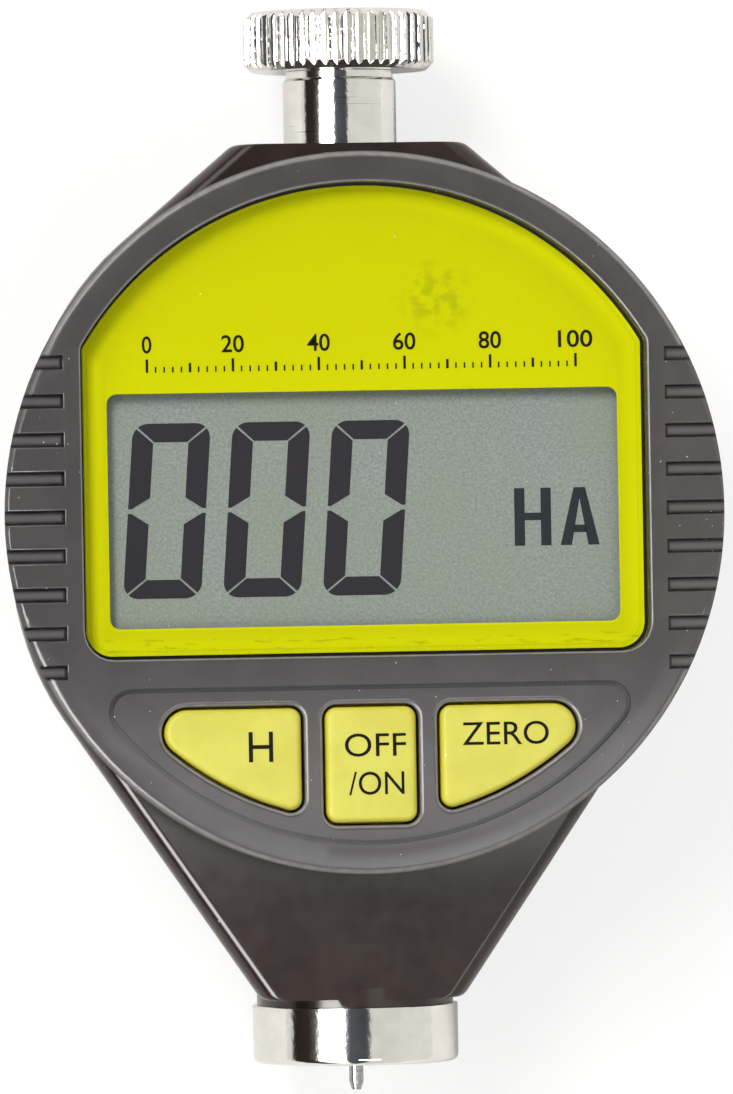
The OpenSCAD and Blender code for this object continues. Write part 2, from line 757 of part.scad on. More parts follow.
// Compression spring: a wire ring carried along a helix
module main_spring() {
    coil_r = (spring_d - wire_d) / 2;
    y0 = spring_y + wire_d / 2;
    y1 = spring_end_y - wire_d / 2;
    steps_per_turn = 12;
    wire_sides = 6;
    steps = spring_turns * steps_per_turn;
    rings = [for (i = [0:steps]) let (t = 360 * i / steps_per_turn, y = y0 + (y1 - y0) * i / steps)
        [for (j = [0:wire_sides - 1]) let (f = 360 * j / wire_sides, r = coil_r + wire_d / 2 * cos(f))
            [r * cos(t), y + wire_d / 2 * sin(f), axis_z + r * sin(t)]]];
    color([0.60, 0.60, 0.62]) skin(rings);
}

// Stem: a turned post, with a blind hole for the knob's stud
module stem() {
    r = stem_d / 2;
    c = stem_chamfer;
    hole = stud_d / 2 + run_gap;
    spigot_r = stem_spigot_d / 2;
    color([0.82, 0.82, 0.80]) turned([[0, stem_y], [spigot_r, stem_y], [spigot_r, lug_y], [r, lug_y],
        [r, stem_end_y - c], [r - c, stem_end_y], [hole, stem_end_y], [hole, stud_hole_y], [0, stud_hole_y]]);
}

// Washer between stem and knob
module knob_washer() {
    color([0.75, 0.75, 0.74]) difference() {
        bar(washer_d, stem_end_y, knob_y);
        bar(stud_d + 2 * run_gap, stem_end_y - cut, knob_y + cut);
    }
}

// Knob: a knurled head with chamfered rims, and its stud
module knob() {
    r = knob_d / 2;
    c = knob_chamfer;
    pitch = 360 / knob_teeth;
    flat = asin(crest_w / 2 / r);
    end_y = knob_y + knob_h;
    knurl = [for (i = [0:knob_teeth - 1]) each [
        r * [cos(i * pitch - flat), sin(i * pitch - flat)],
        r * [cos(i * pitch + flat), sin(i * pitch + flat)],
        (r - knurl_depth) * [cos((i + 0.5) * pitch), sin((i + 0.5) * pitch)]]];
    color([0.82, 0.82, 0.80]) {
        intersection() {
            translate([0, knob_y, axis_z]) rotate([-90, 0, 0]) linear_extrude(knob_h) polygon(knurl);
            turned([[0, knob_y], [r - c, knob_y], [r, knob_y + c], [r, end_y - c], [r - c, end_y], [0, end_y]]);
        }
        bar(stud_d, stud_hole_y + loose_gap, knob_y + c);
    }
}

// The tilted frame of one side of the bezel's face
module side_frame(s) {
    mirror([s < 0 ? 1 : 0, 0, 0]) translate([side_break, 0, front_z]) rotate([0, side_slope, 0]) children();
}

// Steps over a lip rounded by r: how far a hole widens, and the height of each step from the face
function lip_steps(r) = [for (k = [0:round_steps]) let (a = 90 * k / round_steps)
    r * [1 - cos(a), sin(a) - 1]];

// Grip groove as a cut, with drafted walls and a rounded lip
module grip_groove() {
    lip = [for (l = lip_steps(grip_lip)) [-l[0], l[1]]];
    skin([for (g = concat([[grip_draft, -grip_depth]], lip, [[-grip_lip, cut]])) let (y = grip_w / 2 - g[0])
        at_z([[grip_in + g[0], -y], [bezel_r, -y], [bezel_r, y], [grip_in + g[0], y]], g[1])]);
}

// Sloping side of the bezel's face with its grip grooves, as a cut
module grip_cut() {
    first = -(grip_count - 1) / 2 * grip_pitch;
    translate([0, -bezel_r, 0]) cube([bezel_r, 2 * bezel_r, bezel_r]);
    for (i = [0:grip_count - 1]) translate([0, first + i * grip_pitch, 0]) grip_groove();
}

// Groove round the key panel, as a cut
module panel_groove() {
    difference() {
        plate(panel_outline(0), front_z - groove_depth, front_z + cut);
        plate(panel_outline(groove_w), front_z - groove_depth - cut, front_z + 2 * cut);
    }
}

// Hole in the bezel's face as a cut, from its floor z0 and its rings of points over the lip
module lipped_hole(z0, rings) {
    below = [for (q = rings[0]) [q[0], q[1], z0]];
    above = [for (q = rings[round_steps]) [q[0], q[1], front_z + cut]];
    skin(concat([below], rings, [above]));
}

// Bezel: a round cup with a window recess, a grooved key panel, key holes and screw bosses
module front_bezel() {
    edge = arc([bezel_r - edge_round, widest_z], edge_round, 0, 90, corner_steps);
    profile = concat(
        [[0, face_in_z], [bezel_in_r, face_in_z], [bezel_in_r, body_t], [bezel_r - rim_taper, body_t]],
        edge, [[bezel_r - edge_round - crown_w, front_z], [0, front_z]]);
    color([0.37, 0.36, 0.36]) difference() {
        union() {
            difference() {
                rotate_extrude() polygon(profile);
                for (s = [-1, 1]) side_frame(s) grip_cut();
                lipped_hole(print_z,
                    [for (l = lip_steps(window_lip)) at_z(window_outline(-l[0]), front_z + l[1])]);
                plate(view_outline(view_margin), face_in_z - cut, print_z + cut);
                block([-frame_x - loose_gap, view_y - frame_y - loose_gap, body_t - cut],
                    [frame_x + loose_gap, view_y + frame_y + loose_gap, face_in_z]);
                panel_groove();
                for (m = [0, 1]) mirror([m, 0, 0]) lipped_hole(face_in_z - cut,
                    [for (l = lip_steps(lip_round)) at_z(side_key_outline(-key_gap - l[0]), front_z + l[1])]);
                lipped_hole(face_in_z - cut,
                    [for (l = lip_steps(lip_round)) at_z(mid_key_outline(-key_gap - l[0]), front_z + l[1])]);
            }
            for (p = screw_places) post(p, screw_boss_d, board_top, face_in_z + window_floor / 2);
        }
        for (p = screw_places)
            post(p, screw_d + 2 * fit_gap, board_top - cut, board_top + screw_bite + loose_gap);
    }
}

// Lens: a clear plate with a bevelled edge
module window_lens() {
    edge = window_outline(lens_gap);
    color([0.85, 0.88, 0.85, 0.5]) skin([at_z(edge, lens_z), at_z(edge, lens_top - lens_bevel / 2),
        at_z(window_outline(lens_gap + lens_bevel), lens_top)]);
}

// Yellow mask printed behind the lens
module window_print() {
    color([0.80, 0.80, 0.05]) difference() {
        plate(window_outline(lens_gap), print_z, lens_z);
        plate(view_outline(0), print_z - cut, lens_z + cut);
    }
}

// Display glass: a front sheet with contact ledges and a lower back sheet
module lcd_glass() {
    x = glass_w / 2;
    y = glass_h / 2;
    color([0.62, 0.65, 0.60]) {
        block([-x, view_y - y, sheet_z], [x, view_y + y, face_in_z]);
        block([-x, view_y - y + ledge_h, sheet_z - glass_t], [x, view_y + y - ledge_h, sheet_z]);
    }
}

// Rubber contact strips between the board and the ledges of the glass
module zebra_strips() {
    y = glass_h / 2;
    color([0.15, 0.15, 0.16]) for (s = [-1, 1]) translate([0, view_y + s * (y - ledge_h / 2), board_top])
        linear_extrude(zebra_h) square([zebra_w, ledge_h - 2 * loose_gap], center = true);
}

// Frame that holds the glass and the strips in place on the board
module lcd_frame() {
    x = frame_x - frame_wall;
    y = frame_y - frame_wall;
    color([0.85, 0.85, 0.82]) difference() {
        block([-frame_x, view_y - frame_y, board_top], [frame_x, view_y + frame_y, face_in_z]);
        block([-x, view_y - y, board_top - cut], [x, view_y + y, face_in_z + cut]);
    }
}

// Circuit board: a round board with holes for the case screws
module circuit_board() {
    color([0.10, 0.35, 0.18]) difference() {
        post([0, 0], 2 * board_r, board_z, board_top);
        for (p = screw_places) post(p, screw_d + 2 * loose_gap, board_z - cut, board_top + cut);
    }
}

// Controller chip under the board
module controller_chip() {
    color([0.08, 0.08, 0.09]) translate([chip_at[0], chip_at[1], board_z - chip_t])
        linear_extrude(chip_t) square(chip_w, center = true);
}

// Housing of one switch
module switch_housing(at) {
    difference() {
        translate([at[0], at[1], board_top]) linear_extrude(switch_h) square(switch_w, center = true);
        post(at, plunger_d + 2 * run_gap, board_top + switch_floor, switch_top + cut);
    }
}

module tact_switches() {
    color([0.12, 0.12, 0.13]) {
        switch_housing(mid_switch_at);
        for (s = [-1, 1]) switch_housing([s * side_switch_at[0], side_switch_at[1]]);
    }
}

// Plunger of one switch
module plunger(at) {
    color([0.75, 0.72, 0.65]) post(at, plunger_d, plunger_z, plunger_top);
}

module hold_plunger() {
    plunger([-side_switch_at[0], side_switch_at[1]]);
}

module power_plunger() {
    plunger(mid_switch_at);
}

module zero_plunger() {
    plunger(side_switch_at);
}

// A key: rounded cap with a flange and a boss, from its rings of points by inset
module key(rings, flange, at) {
    heights = [for (k = [0:round_steps]) key_z - key_round + key_round * sin(90 * k / round_steps)];
    cap = [for (k = [0:round_steps]) at_z(rings[k], heights[k])];
    color([0.88, 0.87, 0.40]) {
        skin(concat([at_z(rings[0], flange_z)], cap));
        plate(flange, flange_z, flange_top);
        post(at, key_boss_d, plunger_top, flange_z + key_flange_t / 2);
    }
}

// Insets of a key's cap from its side up to its top face
function cap_insets() = [for (k = [0:round_steps]) key_round * (1 - cos(90 * k / round_steps))];

module hold_key() {
    key([for (d = cap_insets()) mirrored(side_key_outline(d))], mirrored(side_key_outline(-key_flange)),
        [-side_switch_at[0], side_switch_at[1]]);
}

module power_key() {
    key([for (d = cap_insets()) mid_key_outline(d)], mid_key_outline(-key_flange), mid_switch_at);
}

module zero_key() {
    key([for (d = cap_insets()) side_key_outline(d)], side_key_outline(-key_flange), side_switch_at);
}

// Button cell: a can with a narrower lid
module battery() {
    lid = battery_t / 4;
    color([0.75, 0.75, 0.74]) {
        post(battery_at, battery_d - 2 * holder_wall, battery_z, battery_z + lid);
        post(battery_at, battery_d, battery_z + lid, battery_top);
    }
}

// Cup over the battery, with room for the cap's tabs and slots for the two strips
module battery_holder() {
    slot = strip_w / 2 + loose_gap;
    riser_end = riser_y + strip_t + loose_gap;
    color([0.15, 0.15, 0.16]) difference() {
        post(battery_at, 2 * holder_r, floor_t, holder_end);
        post(battery_at, 2 * (tab_r + loose_gap), floor_t - cut, leaf_z);
        post(battery_at, 2 * holder_in_r, floor_t - cut, battery_top + strip_t);
        translate([battery_at[0], battery_at[1], 0]) {
            block([-slot, -strip_t / 2 - loose_gap, battery_top],
                [slot, strip_t / 2 + loose_gap, holder_end + cut]);
            block([-slot, 0, leaf_z - loose_gap], [slot, riser_end, battery_z + loose_gap]);
            block([-slot, riser_y - loose_gap, leaf_z], [slot, riser_end, holder_end + cut]);
        }
    }
}

// Strip from the top of the battery up to the board
module positive_contact() {
    color([0.80, 0.66, 0.35]) {
        post(battery_at, pad_d, battery_top, battery_top + strip_t);
        translate([battery_at[0], battery_at[1], 0])
            block([-strip_w / 2, -strip_t / 2, battery_top], [strip_w / 2, strip_t / 2, board_z]);
    }
}

// Strip from under the battery, up beside it to the board
module negative_contact() {
    color([0.80, 0.66, 0.35]) translate([battery_at[0], battery_at[1], 0]) {
        block([-strip_w / 2, -pad_d / 2, leaf_z], [strip_w / 2, riser_y + strip_t, battery_z]);
        block([-strip_w / 2, riser_y, leaf_z], [strip_w / 2, riser_y + strip_t, board_z]);
    }
}

// Cap of the battery port: a disc with a coin slot, a plug and two bayonet tabs
module battery_cap() {
    color([0.12, 0.12, 0.12]) translate([battery_at[0], battery_at[1], 0]) difference() {
        union() {
            translate([0, 0, cap_sink]) cylinder(d = cap_d, h = cap_t);
            translate([0, 0, cap_sink]) cylinder(r = plug_r, h = plug_top - cap_sink);
            intersection() {
                translate([0, 0, tab_z]) cylinder(r = tab_r, h = tab_t);
                block([-tab_r, -tab_w / 2, tab_z], [tab_r, tab_w / 2, plug_top]);
            }
        }
        block([-coin_slot_len / 2, -coin_slot_w / 2, -cut],
            [coin_slot_len / 2, coin_slot_w / 2, cap_sink + coin_slot_depth]);
    }
}

// Four long screws from the back into the bezel's bosses
module case_screws() {
    color([0.30, 0.30, 0.31]) for (p = screw_places) {
        post(p, screw_head_d, screw_head_sink, head_seat_z);
        post(p, screw_d, head_seat_z, board_top + screw_bite);
    }
}

main_body();
presser_foot();
indenter();
spindle();
lower_bush();
upper_bush();
carriage();
scale_plate();
guide_pin();
spring_seat();
grub_screws();
main_spring();
stem();
knob_washer();
knob();
front_bezel();
window_lens();
window_print();
lcd_glass();
zebra_strips();
lcd_frame();
circuit_board();
controller_chip();
tact_switches();
hold_plunger();
power_plunger();
zero_plunger();
hold_key();
power_key();
zero_key();
battery();
battery_holder();
positive_contact();
negative_contact();
battery_cap();
case_screws();
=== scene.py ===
# Looks of a pocket digital hardness gauge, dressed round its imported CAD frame.
# X runs to the right of the display, Y towards the knob and Z out of the display, in metres.
import json
import math

import bmesh
import bpy
from mathutils import Matrix, Vector


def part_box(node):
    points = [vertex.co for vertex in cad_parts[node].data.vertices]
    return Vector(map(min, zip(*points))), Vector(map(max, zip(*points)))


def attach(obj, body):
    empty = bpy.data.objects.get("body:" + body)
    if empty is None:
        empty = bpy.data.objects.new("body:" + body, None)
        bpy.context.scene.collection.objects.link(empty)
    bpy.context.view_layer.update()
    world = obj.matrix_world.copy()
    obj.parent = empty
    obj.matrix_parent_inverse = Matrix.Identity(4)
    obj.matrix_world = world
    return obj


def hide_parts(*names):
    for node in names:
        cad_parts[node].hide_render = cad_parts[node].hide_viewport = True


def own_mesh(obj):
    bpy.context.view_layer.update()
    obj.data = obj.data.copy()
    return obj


MM = 0.001
X, Y, Z = 0, 1, 2

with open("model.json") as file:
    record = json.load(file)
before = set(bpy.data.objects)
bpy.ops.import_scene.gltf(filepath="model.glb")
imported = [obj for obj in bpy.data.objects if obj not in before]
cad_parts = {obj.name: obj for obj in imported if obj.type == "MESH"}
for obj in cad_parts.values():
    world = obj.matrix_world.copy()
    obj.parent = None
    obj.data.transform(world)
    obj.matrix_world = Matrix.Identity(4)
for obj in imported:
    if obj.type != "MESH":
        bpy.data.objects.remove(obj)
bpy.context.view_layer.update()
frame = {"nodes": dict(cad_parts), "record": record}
nodes = frame["nodes"]
behaviour = frame["record"]["behaviour"]
scene = bpy.context.scene
scene.view_settings.view_transform = "Standard"
slots = {p["node"]: p["material_slot"] for p in frame["record"]["subparts"]}
bodies = {n: b for b, names in behaviour["bodies"].items() for n in names}


def span(node, axis):
    """Lowest and highest place of a CAD node along an axis, in millimetres."""
    return [corner[axis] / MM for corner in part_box(node)]


# Sizes in millimetres, from the frame where it has them
BEZEL_R = span("front_bezel", X)[1]
LENS_Z, LENS_TOP = span("window_lens", Z)
GLASS_TOP = span("lcd_glass", Z)[1]
KEY_LOW, KEY_Z = span("power_key", Z)
SCREW_END = span("case_screws", Z)[1]
AXIS_Z = sum(span("knob", Z)) / 2
KNOB_R = span("knob", X)[1]
KNOB_LOW = span("knob", Y)[0]
KNOB_FACE = span("knob_washer", Y)[1]

# Window recess: radius of its top, half width, lower edge, rounds, and the gap round the lens
WINDOW_R, WINDOW_HALF, WINDOW_BOTTOM = BEZEL_R - 2.7, 24.5, 12.3
WINDOW_CORNER, WINDOW_SHOULDER = 2.5, 1.2
LENS_GAP = WINDOW_HALF - span("window_lens", X)[1] + 0.07

# View through the print: width, height, middle and corner
VIEW_W, VIEW_H, VIEW_Y, VIEW_CORNER = 44.3, 20.25, 0.42, 0.9

# Grip grooves: inner end, width, spacing, and how far they reach from the middle
GRIP_X, GRIP_W, GRIP_PITCH = WINDOW_HALF + 1.6, 1.12, 3.33
GRIP_END = 4 * GRIP_PITCH + GRIP_W / 2 + 0.1

# Keys: outlines, rounded edge, flange and boss
KEY_TOP, SIDE_KEY_IN, SIDE_KEY_R = 16.8, 6.1, BEZEL_R - 4.8
KEY_NOSE, KEY_CORNER, MID_KEY_W, MID_KEY_BOTTOM = 1.9, 0.9, 7.7, BEZEL_R - 4.6
KEY_ROUND, KEY_RIM, KEY_MIDDLE, KEY_MIDDLE_IN = 0.55, KEY_Z - 0.05, KEY_Z - 0.02, 0.8
KEY_FLANGE, KEY_FIT, FLANGE_TOP, FLANGE_Z = 0.7, 0.08, 23.3, 22.6
BOSS_R, SIDE_BOSS_X, SIDE_BOSS_Y, MID_BOSS_Y = 1.5, 11.29, -20.6, -21.7

# Prints: heights at which they lie, and their thickness
SCALE_Z, DISPLAY_Z, LEGEND_Z = LENS_Z + 0.002, GLASS_TOP + 0.004, KEY_Z - 0.021
TICK_THICK, INK_THICK = 0.018, 0.02

# Colour of the painted shade in the bezel's grooves, gaps and steep walls
PAINTED_SHADE = "120f0f"


# Shader helpers


def linear(code):
    """Linear colour of a hex code."""
    part = [int(code[i : i + 2], 16) / 255 for i in (0, 2, 4)]
    return tuple(c / 12.92 if c <= 0.04045 else ((c + 0.055) / 1.055) ** 2.4 for c in part) + (1.0,)


def feed(tree, node, inputs):
    """Sets or links inputs of a node."""
    for key, value in inputs.items():
        if isinstance(value, bpy.types.NodeSocket):
            tree.links.new(value, node.inputs[key])
        else:
            node.inputs[key].default_value = value


def add(tree, kind, inputs=None, **props):
    """A shader node with its properties, values and links set."""
    node = tree.nodes.new("ShaderNode" + kind)
    for key, value in props.items():
        setattr(node, key, value)
    feed(tree, node, inputs or {})
    return node


def calc(tree, operation, a, b=0.0, c=0.0):
    """The result of a math node."""
    return add(tree, "Math", {0: a, 1: b, 2: c}, operation=operation).outputs[0]


def times(tree, first, *others):
    """The product of values."""
    for other in others:
        first = calc(tree, "MULTIPLY", first, other)
    return first


def most(tree, a, b):
    """The higher of two values."""
    return calc(tree, "MAXIMUM", a, b)


def split(tree, vector):
    """The X, Y and Z of a vector."""
    return add(tree, "SeparateXYZ", {0: vector}).outputs


def far(tree, a, b):
    """Distance from an axis, by the offsets along the other two."""
    return calc(tree, "SQRT", calc(tree, "ADD", times(tree, a, a), times(tree, b, b)))


def blend(tree, share, a, b):
    """A mix of two colours."""
    return add(tree, "Mix", {0: share, 6: a, 7: b}, data_type="RGBA").outputs[2]


def over(tree, colour, code, share):
    """A colour with another laid over it by a share."""
    return blend(tree, share, colour, linear(code))


def ranged(tree, value, low, high, to_low=0.0, to_high=1.0, unit=1.0):
    """A value moved smoothly from one range, given in a unit, to another."""
    keys = {"Value": value, "From Min": low * unit, "From Max": high * unit}
    keys.update({"To Min": to_low, "To Max": to_high})
    return add(tree, "MapRange", keys, interpolation_type="SMOOTHSTEP").outputs[0]


def band(tree, value, rise, fall, unit=1.0):
    """A mask that rises over one range of a value and falls over a later one."""
    return times(tree, ranged(tree, value, *rise, unit=unit), ranged(tree, value, *fall, 1.0, 0.0, unit))


def spread(tree, value, low, high):
    """A value from 0 to 1 moved evenly to another range."""
    return add(tree, "MapRange", {"Value": value, "To Min": low, "To Max": high}).outputs[0]


def noise(tree, place, scale, detail=3.0, rough=0.55):
    """Noise about 1/scale metres in size."""
    keys = {"Vector": place, "Scale": scale, "Detail": detail, "Roughness": rough}
    return add(tree, "TexNoise", keys).outputs[0]


def clouds(tree, value, dark, light):
    """Two tones mixed by noise."""
    return blend(tree, ranged(tree, value, 0.35, 0.65), linear(dark), linear(light))


def stretched(tree, place, size):
    """Coordinates scaled on each axis."""
    return add(tree, "Mapping", {"Vector": place, "Scale": size}).outputs[0]


def specks(tree, place, scale, size, share):
    """A mask of scattered dots: cells of 1/scale metres, of which a share holds a dot."""
    cell = add(tree, "TexVoronoi", {"Vector": place, "Scale": scale})
    near = calc(tree, "LESS_THAN", cell.outputs["Distance"], size)
    kept = calc(tree, "LESS_THAN", add(tree, "SeparateColor", {0: cell.outputs["Color"]}).outputs[0], share)
    return times(tree, near, kept)


def begin(name):
    """A new material with its tree, its shader and object coordinates."""
    mat = bpy.data.materials.new(name)
    mat.use_nodes = True
    tree = mat.node_tree
    tree.nodes.clear()
    shader = add(tree, "BsdfPrincipled")
    add(tree, "OutputMaterial", {"Surface": shader.outputs[0]})
    place = add(tree, "TexCoord").outputs["Object"]
    return mat, tree, shader, place


def bump(tree, shader, height, depth):
    """A bump of that depth in metres on a shader."""
    node = add(tree, "Bump", {"Height": height, "Distance": depth, "Strength": 1.0})
    tree.links.new(node.outputs[0], shader.inputs["Normal"])


# Materials


def surface(name, dark, light, scale, rough, vary=0.06, metal=0.0, ior=1.45, grain=2500.0, depth=4e-6,
            stretch=(1.0, 1.0, 1.0), dust=None):
    """A material whose colour, roughness and relief vary, with dust dots if asked."""
    mat, tree, shader, place = begin(name)
    drawn = stretched(tree, place, stretch)
    colour = clouds(tree, noise(tree, drawn, scale), dark, light)
    gloss = spread(tree, noise(tree, drawn, scale * 3.1), rough - vary, rough + vary)
    if dust:
        dots = specks(tree, place, *dust)
        colour = over(tree, colour, "d8d6d0", dots)
        gloss = most(tree, gloss, times(tree, dots, 0.8))
    feed(tree, shader, {"Base Color": colour, "Roughness": gloss, "Metallic": metal, "IOR": ior})
    bump(tree, shader, noise(tree, drawn, grain, 2.0), depth)
    return mat


def bezel_grey():
    """Satin dark grey moulding with painted highlights on its lips and groove floors, painted shade on steep
    walls, in deep gaps and in the grips, dust and lint.
    """
    mat, tree, shader, place = begin("bezel_grey")
    x, y, z = split(tree, place)
    upright = split(tree, add(tree, "NewGeometry").outputs["Normal"])[Z]
    colour = clouds(tree, noise(tree, place, 240.0), "464445", "4b494a")

    # Painted highlight on the rounded lips, less of it at the grips
    aside, along = calc(tree, "ABSOLUTE", x), calc(tree, "ABSOLUTE", y)
    grips = times(tree, ranged(tree, aside, GRIP_X - 0.15, GRIP_X - 0.05, unit=MM),
                  ranged(tree, along, GRIP_END, GRIP_END + 0.1, 1.0, 0.0, MM))
    lip_highlight = times(tree, band(tree, upright, (0.55, 0.8), (0.9, 0.985)),
                 ranged(tree, noise(tree, place, 900.0, 4.0), 0.3, 0.7, 0.7, 1.0),
                 ranged(tree, grips, 0.0, 1.0, 0.6, 0.12))
    colour = over(tree, colour, "a3a1a2", lip_highlight)

    # Painted highlight on the floors of the grip grooves, with painted shade along their walls and ends
    half = GRIP_W / 2
    off = calc(tree, "PINGPONG", y, GRIP_PITCH / 2 * MM)
    groove_floor_highlight = times(tree, grips, ranged(tree, off, 0.05, half - 0.2, 0.7, 0.0, MM))
    colour = over(tree, colour, "636162", groove_floor_highlight)
    walls = band(tree, off, (half - 0.3, half - 0.14), (half + 0.02, half + 0.14), MM)
    ends = times(tree, ranged(tree, aside, GRIP_X + 0.12, GRIP_X + 0.28, 1.0, 0.0, MM),
                 ranged(tree, off, half, half + 0.1, 1.0, 0.0, MM))
    groove_shade = times(tree, grips, most(tree, walls, ends),
                  ranged(tree, noise(tree, place, 700.0, 3.0), 0.3, 0.7, 0.65, 0.95))
    colour = over(tree, colour, PAINTED_SHADE, groove_shade)

    # Painted shade on steep walls and deep in the gaps, inside the outer rim
    inner = ranged(tree, far(tree, x, y), BEZEL_R - 0.5, BEZEL_R - 0.1, 1.0, 0.0, MM)
    deep = ranged(tree, z, LENS_TOP - 0.9, LENS_TOP - 0.3, 0.95, 0.0, MM)
    steep = ranged(tree, upright, 0.15, 0.6, 0.8, 0.0)
    colour = over(tree, colour, PAINTED_SHADE, times(tree, inner, most(tree, deep, steep)))

    # Dust and lint
    dots = most(tree, specks(tree, place, 900.0, 0.06, 0.14), specks(tree, place, 2100.0, 0.1, 0.05))
    lint = specks(tree, stretched(tree, place, (1.0, 0.22, 1.0)), 620.0, 0.045, 0.1)
    dots = most(tree, dots, times(tree, lint, 0.5))
    colour = over(tree, colour, "b9b7b2", dots)

    gloss = most(tree, spread(tree, noise(tree, place, 744.0), 0.19, 0.25), times(tree, dots, 0.8))
    feed(tree, shader, {"Base Color": colour, "Roughness": gloss, "IOR": 1.48})
    bump(tree, shader, noise(tree, place, 5200.0, 2.0), 4e-6)
    return mat


def plated(name, lines=False, crest=0.0):
    """Bright plating with fine turned rings, haze and pits, and with ring lines or battered crests."""
    ring_depth = 2.5e-6
    mat, tree, shader, place = begin(name)
    rings = noise(tree, stretched(tree, place, (20.0, 1400.0, 20.0)), 2.0, 3.0, 0.6)
    ripple = noise(tree, place, 1100.0, 3.0, 0.6)
    haze = noise(tree, place, 420.0, 4.0)
    pits = specks(tree, place, 900.0, 0.07, 0.35)
    colour = blend(tree, ranged(tree, haze, 0.4, 0.7), linear("e6e5e1"), linear("efeeeb"))
    colour = over(tree, colour, "6e6a66", times(tree, pits, 0.6))
    if lines:
        marks = noise(tree, stretched(tree, place, (90.0, 3400.0, 90.0)), 1.0, 2.0)
        colour = over(tree, colour, "5d5955", ranged(tree, marks, 0.64, 0.7, 0.0, 0.35))
    feed(tree, shader, {"Base Color": colour, "Roughness": spread(tree, haze, 0.03, 0.1), "Metallic": 1.0})
    relief = calc(tree, "ADD", rings, times(tree, ripple, 7.0))
    if crest:
        x, _, z = split(tree, place)
        out = far(tree, x, calc(tree, "SUBTRACT", z, AXIS_Z * MM))
        ridge = ranged(tree, out, crest - 0.2, crest - 0.04, unit=MM)
        dents = noise(tree, place, 1500.0, 1.0)
        relief = calc(tree, "ADD", relief, times(tree, ridge, times(tree, dents, 34.0)))
    bump(tree, shader, relief, ring_depth)
    return mat


def clear_lens():
    """Clear acrylic: see-through, with a glossy skin and faint scuffs."""
    mat, tree, shader, place = begin("clear_acrylic")
    scuff = noise(tree, stretched(tree, place, (300.0, 900.0, 300.0)), 1.0, 5.0, 0.7)
    rough = ranged(tree, scuff, 0.55, 0.75, 0.01, 0.06)
    feed(tree, shader, {"Base Color": linear("f4f5ee"), "Roughness": rough, "Metallic": 1.0, "IOR": 1.49})
    through = add(tree, "BsdfTransparent", {"Color": linear("fcfdf8")})
    outside = calc(tree, "SUBTRACT", 1.0, add(tree, "NewGeometry").outputs["Backfacing"])
    share = times(tree, add(tree, "Fresnel", {"IOR": 1.2}).outputs[0], outside)
    mixed = add(tree, "MixShader", {0: share, 1: through.outputs[0], 2: shader.outputs[0]})
    out = next(n for n in tree.nodes if n.type == "OUTPUT_MATERIAL")
    tree.links.new(mixed.outputs[0], out.inputs["Surface"])
    return mat


def lime_print():
    """Lime yellow print with a painted highlight along its edges, and with a smudge, specks and scuffs at its
    lower edge.
    """
    mat, tree, shader, place = begin("lime_print")
    smudge = Vector((6.5, 18.5, LENS_Z)) * MM
    # Painted highlight along the print's edges, strongest at the outer edge
    edge_highlight = add(tree, "Attribute", attribute_name="edge_highlight").outputs["Fac"]
    colour = blend(tree, noise(tree, place, 160.0, 4.0), linear("cdcd00"), linear("d3d300"))
    colour = over(tree, colour, "dfe200", edge_highlight)
    off = add(tree, "VectorMath", {0: place, 1: smudge}, operation="DISTANCE").outputs["Value"]
    smear = times(tree, ranged(tree, off, 1.2, 4.2, 1.0, 0.0, MM),
                  ranged(tree, noise(tree, place, 900.0, 4.0), 0.42, 0.62))
    colour = over(tree, colour, "a3aa10", times(tree, smear, 0.55))
    dots = specks(tree, place, 420.0, 0.05, 0.3)
    colour = over(tree, colour, "f2f4a0", times(tree, dots, 0.7))
    edge = band(tree, split(tree, place)[Y], (-11.9, -11.5), (-10.8, -10.4), MM)
    scuff = noise(tree, stretched(tree, place, (350.0, 2600.0, 1.0)), 1.0, 4.0, 0.7)
    scuff = times(tree, edge, ranged(tree, scuff, 0.55, 0.64))
    colour = over(tree, colour, "a5a800", times(tree, scuff, 0.6))
    feed(tree, shader, {"Base Color": colour, "Roughness": 0.55, "Specular IOR Level": 0.05})
    bump(tree, shader, noise(tree, place, 3000.0, 2.0), 2e-6)
    return mat


def display_glass():
    """Grey-green reflective display with a fine sparkle."""
    mat, tree, shader, place = begin("display_grey")
    grain = noise(tree, place, 3800.0, 2.0, 0.8)
    cloud = noise(tree, place, 90.0, 2.0)
    colour = blend(tree, ranged(tree, grain, 0.25, 0.75), linear("848c95"), linear("a2aab3"))
    colour = over(tree, colour, "959990", ranged(tree, cloud, 0.3, 0.7, 0.0, 0.35))
    dots = specks(tree, place, 700.0, 0.06, 0.3)
    colour = over(tree, colour, "c6ccc4", times(tree, dots, 0.6))
    rough = ranged(tree, grain, 0.3, 0.7, 0.35, 0.5)
    feed(tree, shader, {"Base Color": colour, "Roughness": rough, "Specular IOR Level": 0.1})
    bump(tree, shader, grain, 1.5e-6)
    return mat


def key_yellow():
    """Matte pale yellow with its sides below the rounded edge in a deeper yellow as painted bounce light, and
    with faint clouds and lint.
    """
    mat, tree, shader, place = begin("key_yellow")
    # Deeper yellow below the rounded edge: painted bounce light on the key sides
    low = ranged(tree, split(tree, place)[Z], KEY_Z - 0.5, KEY_Z - 0.06, 1.0, 0.0, MM)
    colour = clouds(tree, noise(tree, place, 260.0, 4.0), "ccc84a", "d3d053")
    colour = over(tree, colour, "d6c522", low)
    dots = specks(tree, place, 800.0, 0.05, 0.25)
    colour = over(tree, colour, "f7f6dc", times(tree, dots, 0.7))
    rough = ranged(tree, noise(tree, place, 1500.0), 0.3, 0.7, 0.42, 0.56)
    feed(tree, shader, {"Base Color": colour, "Roughness": rough})
    bump(tree, shader, noise(tree, place, 4000.0, 2.0), 4e-6)
    return mat


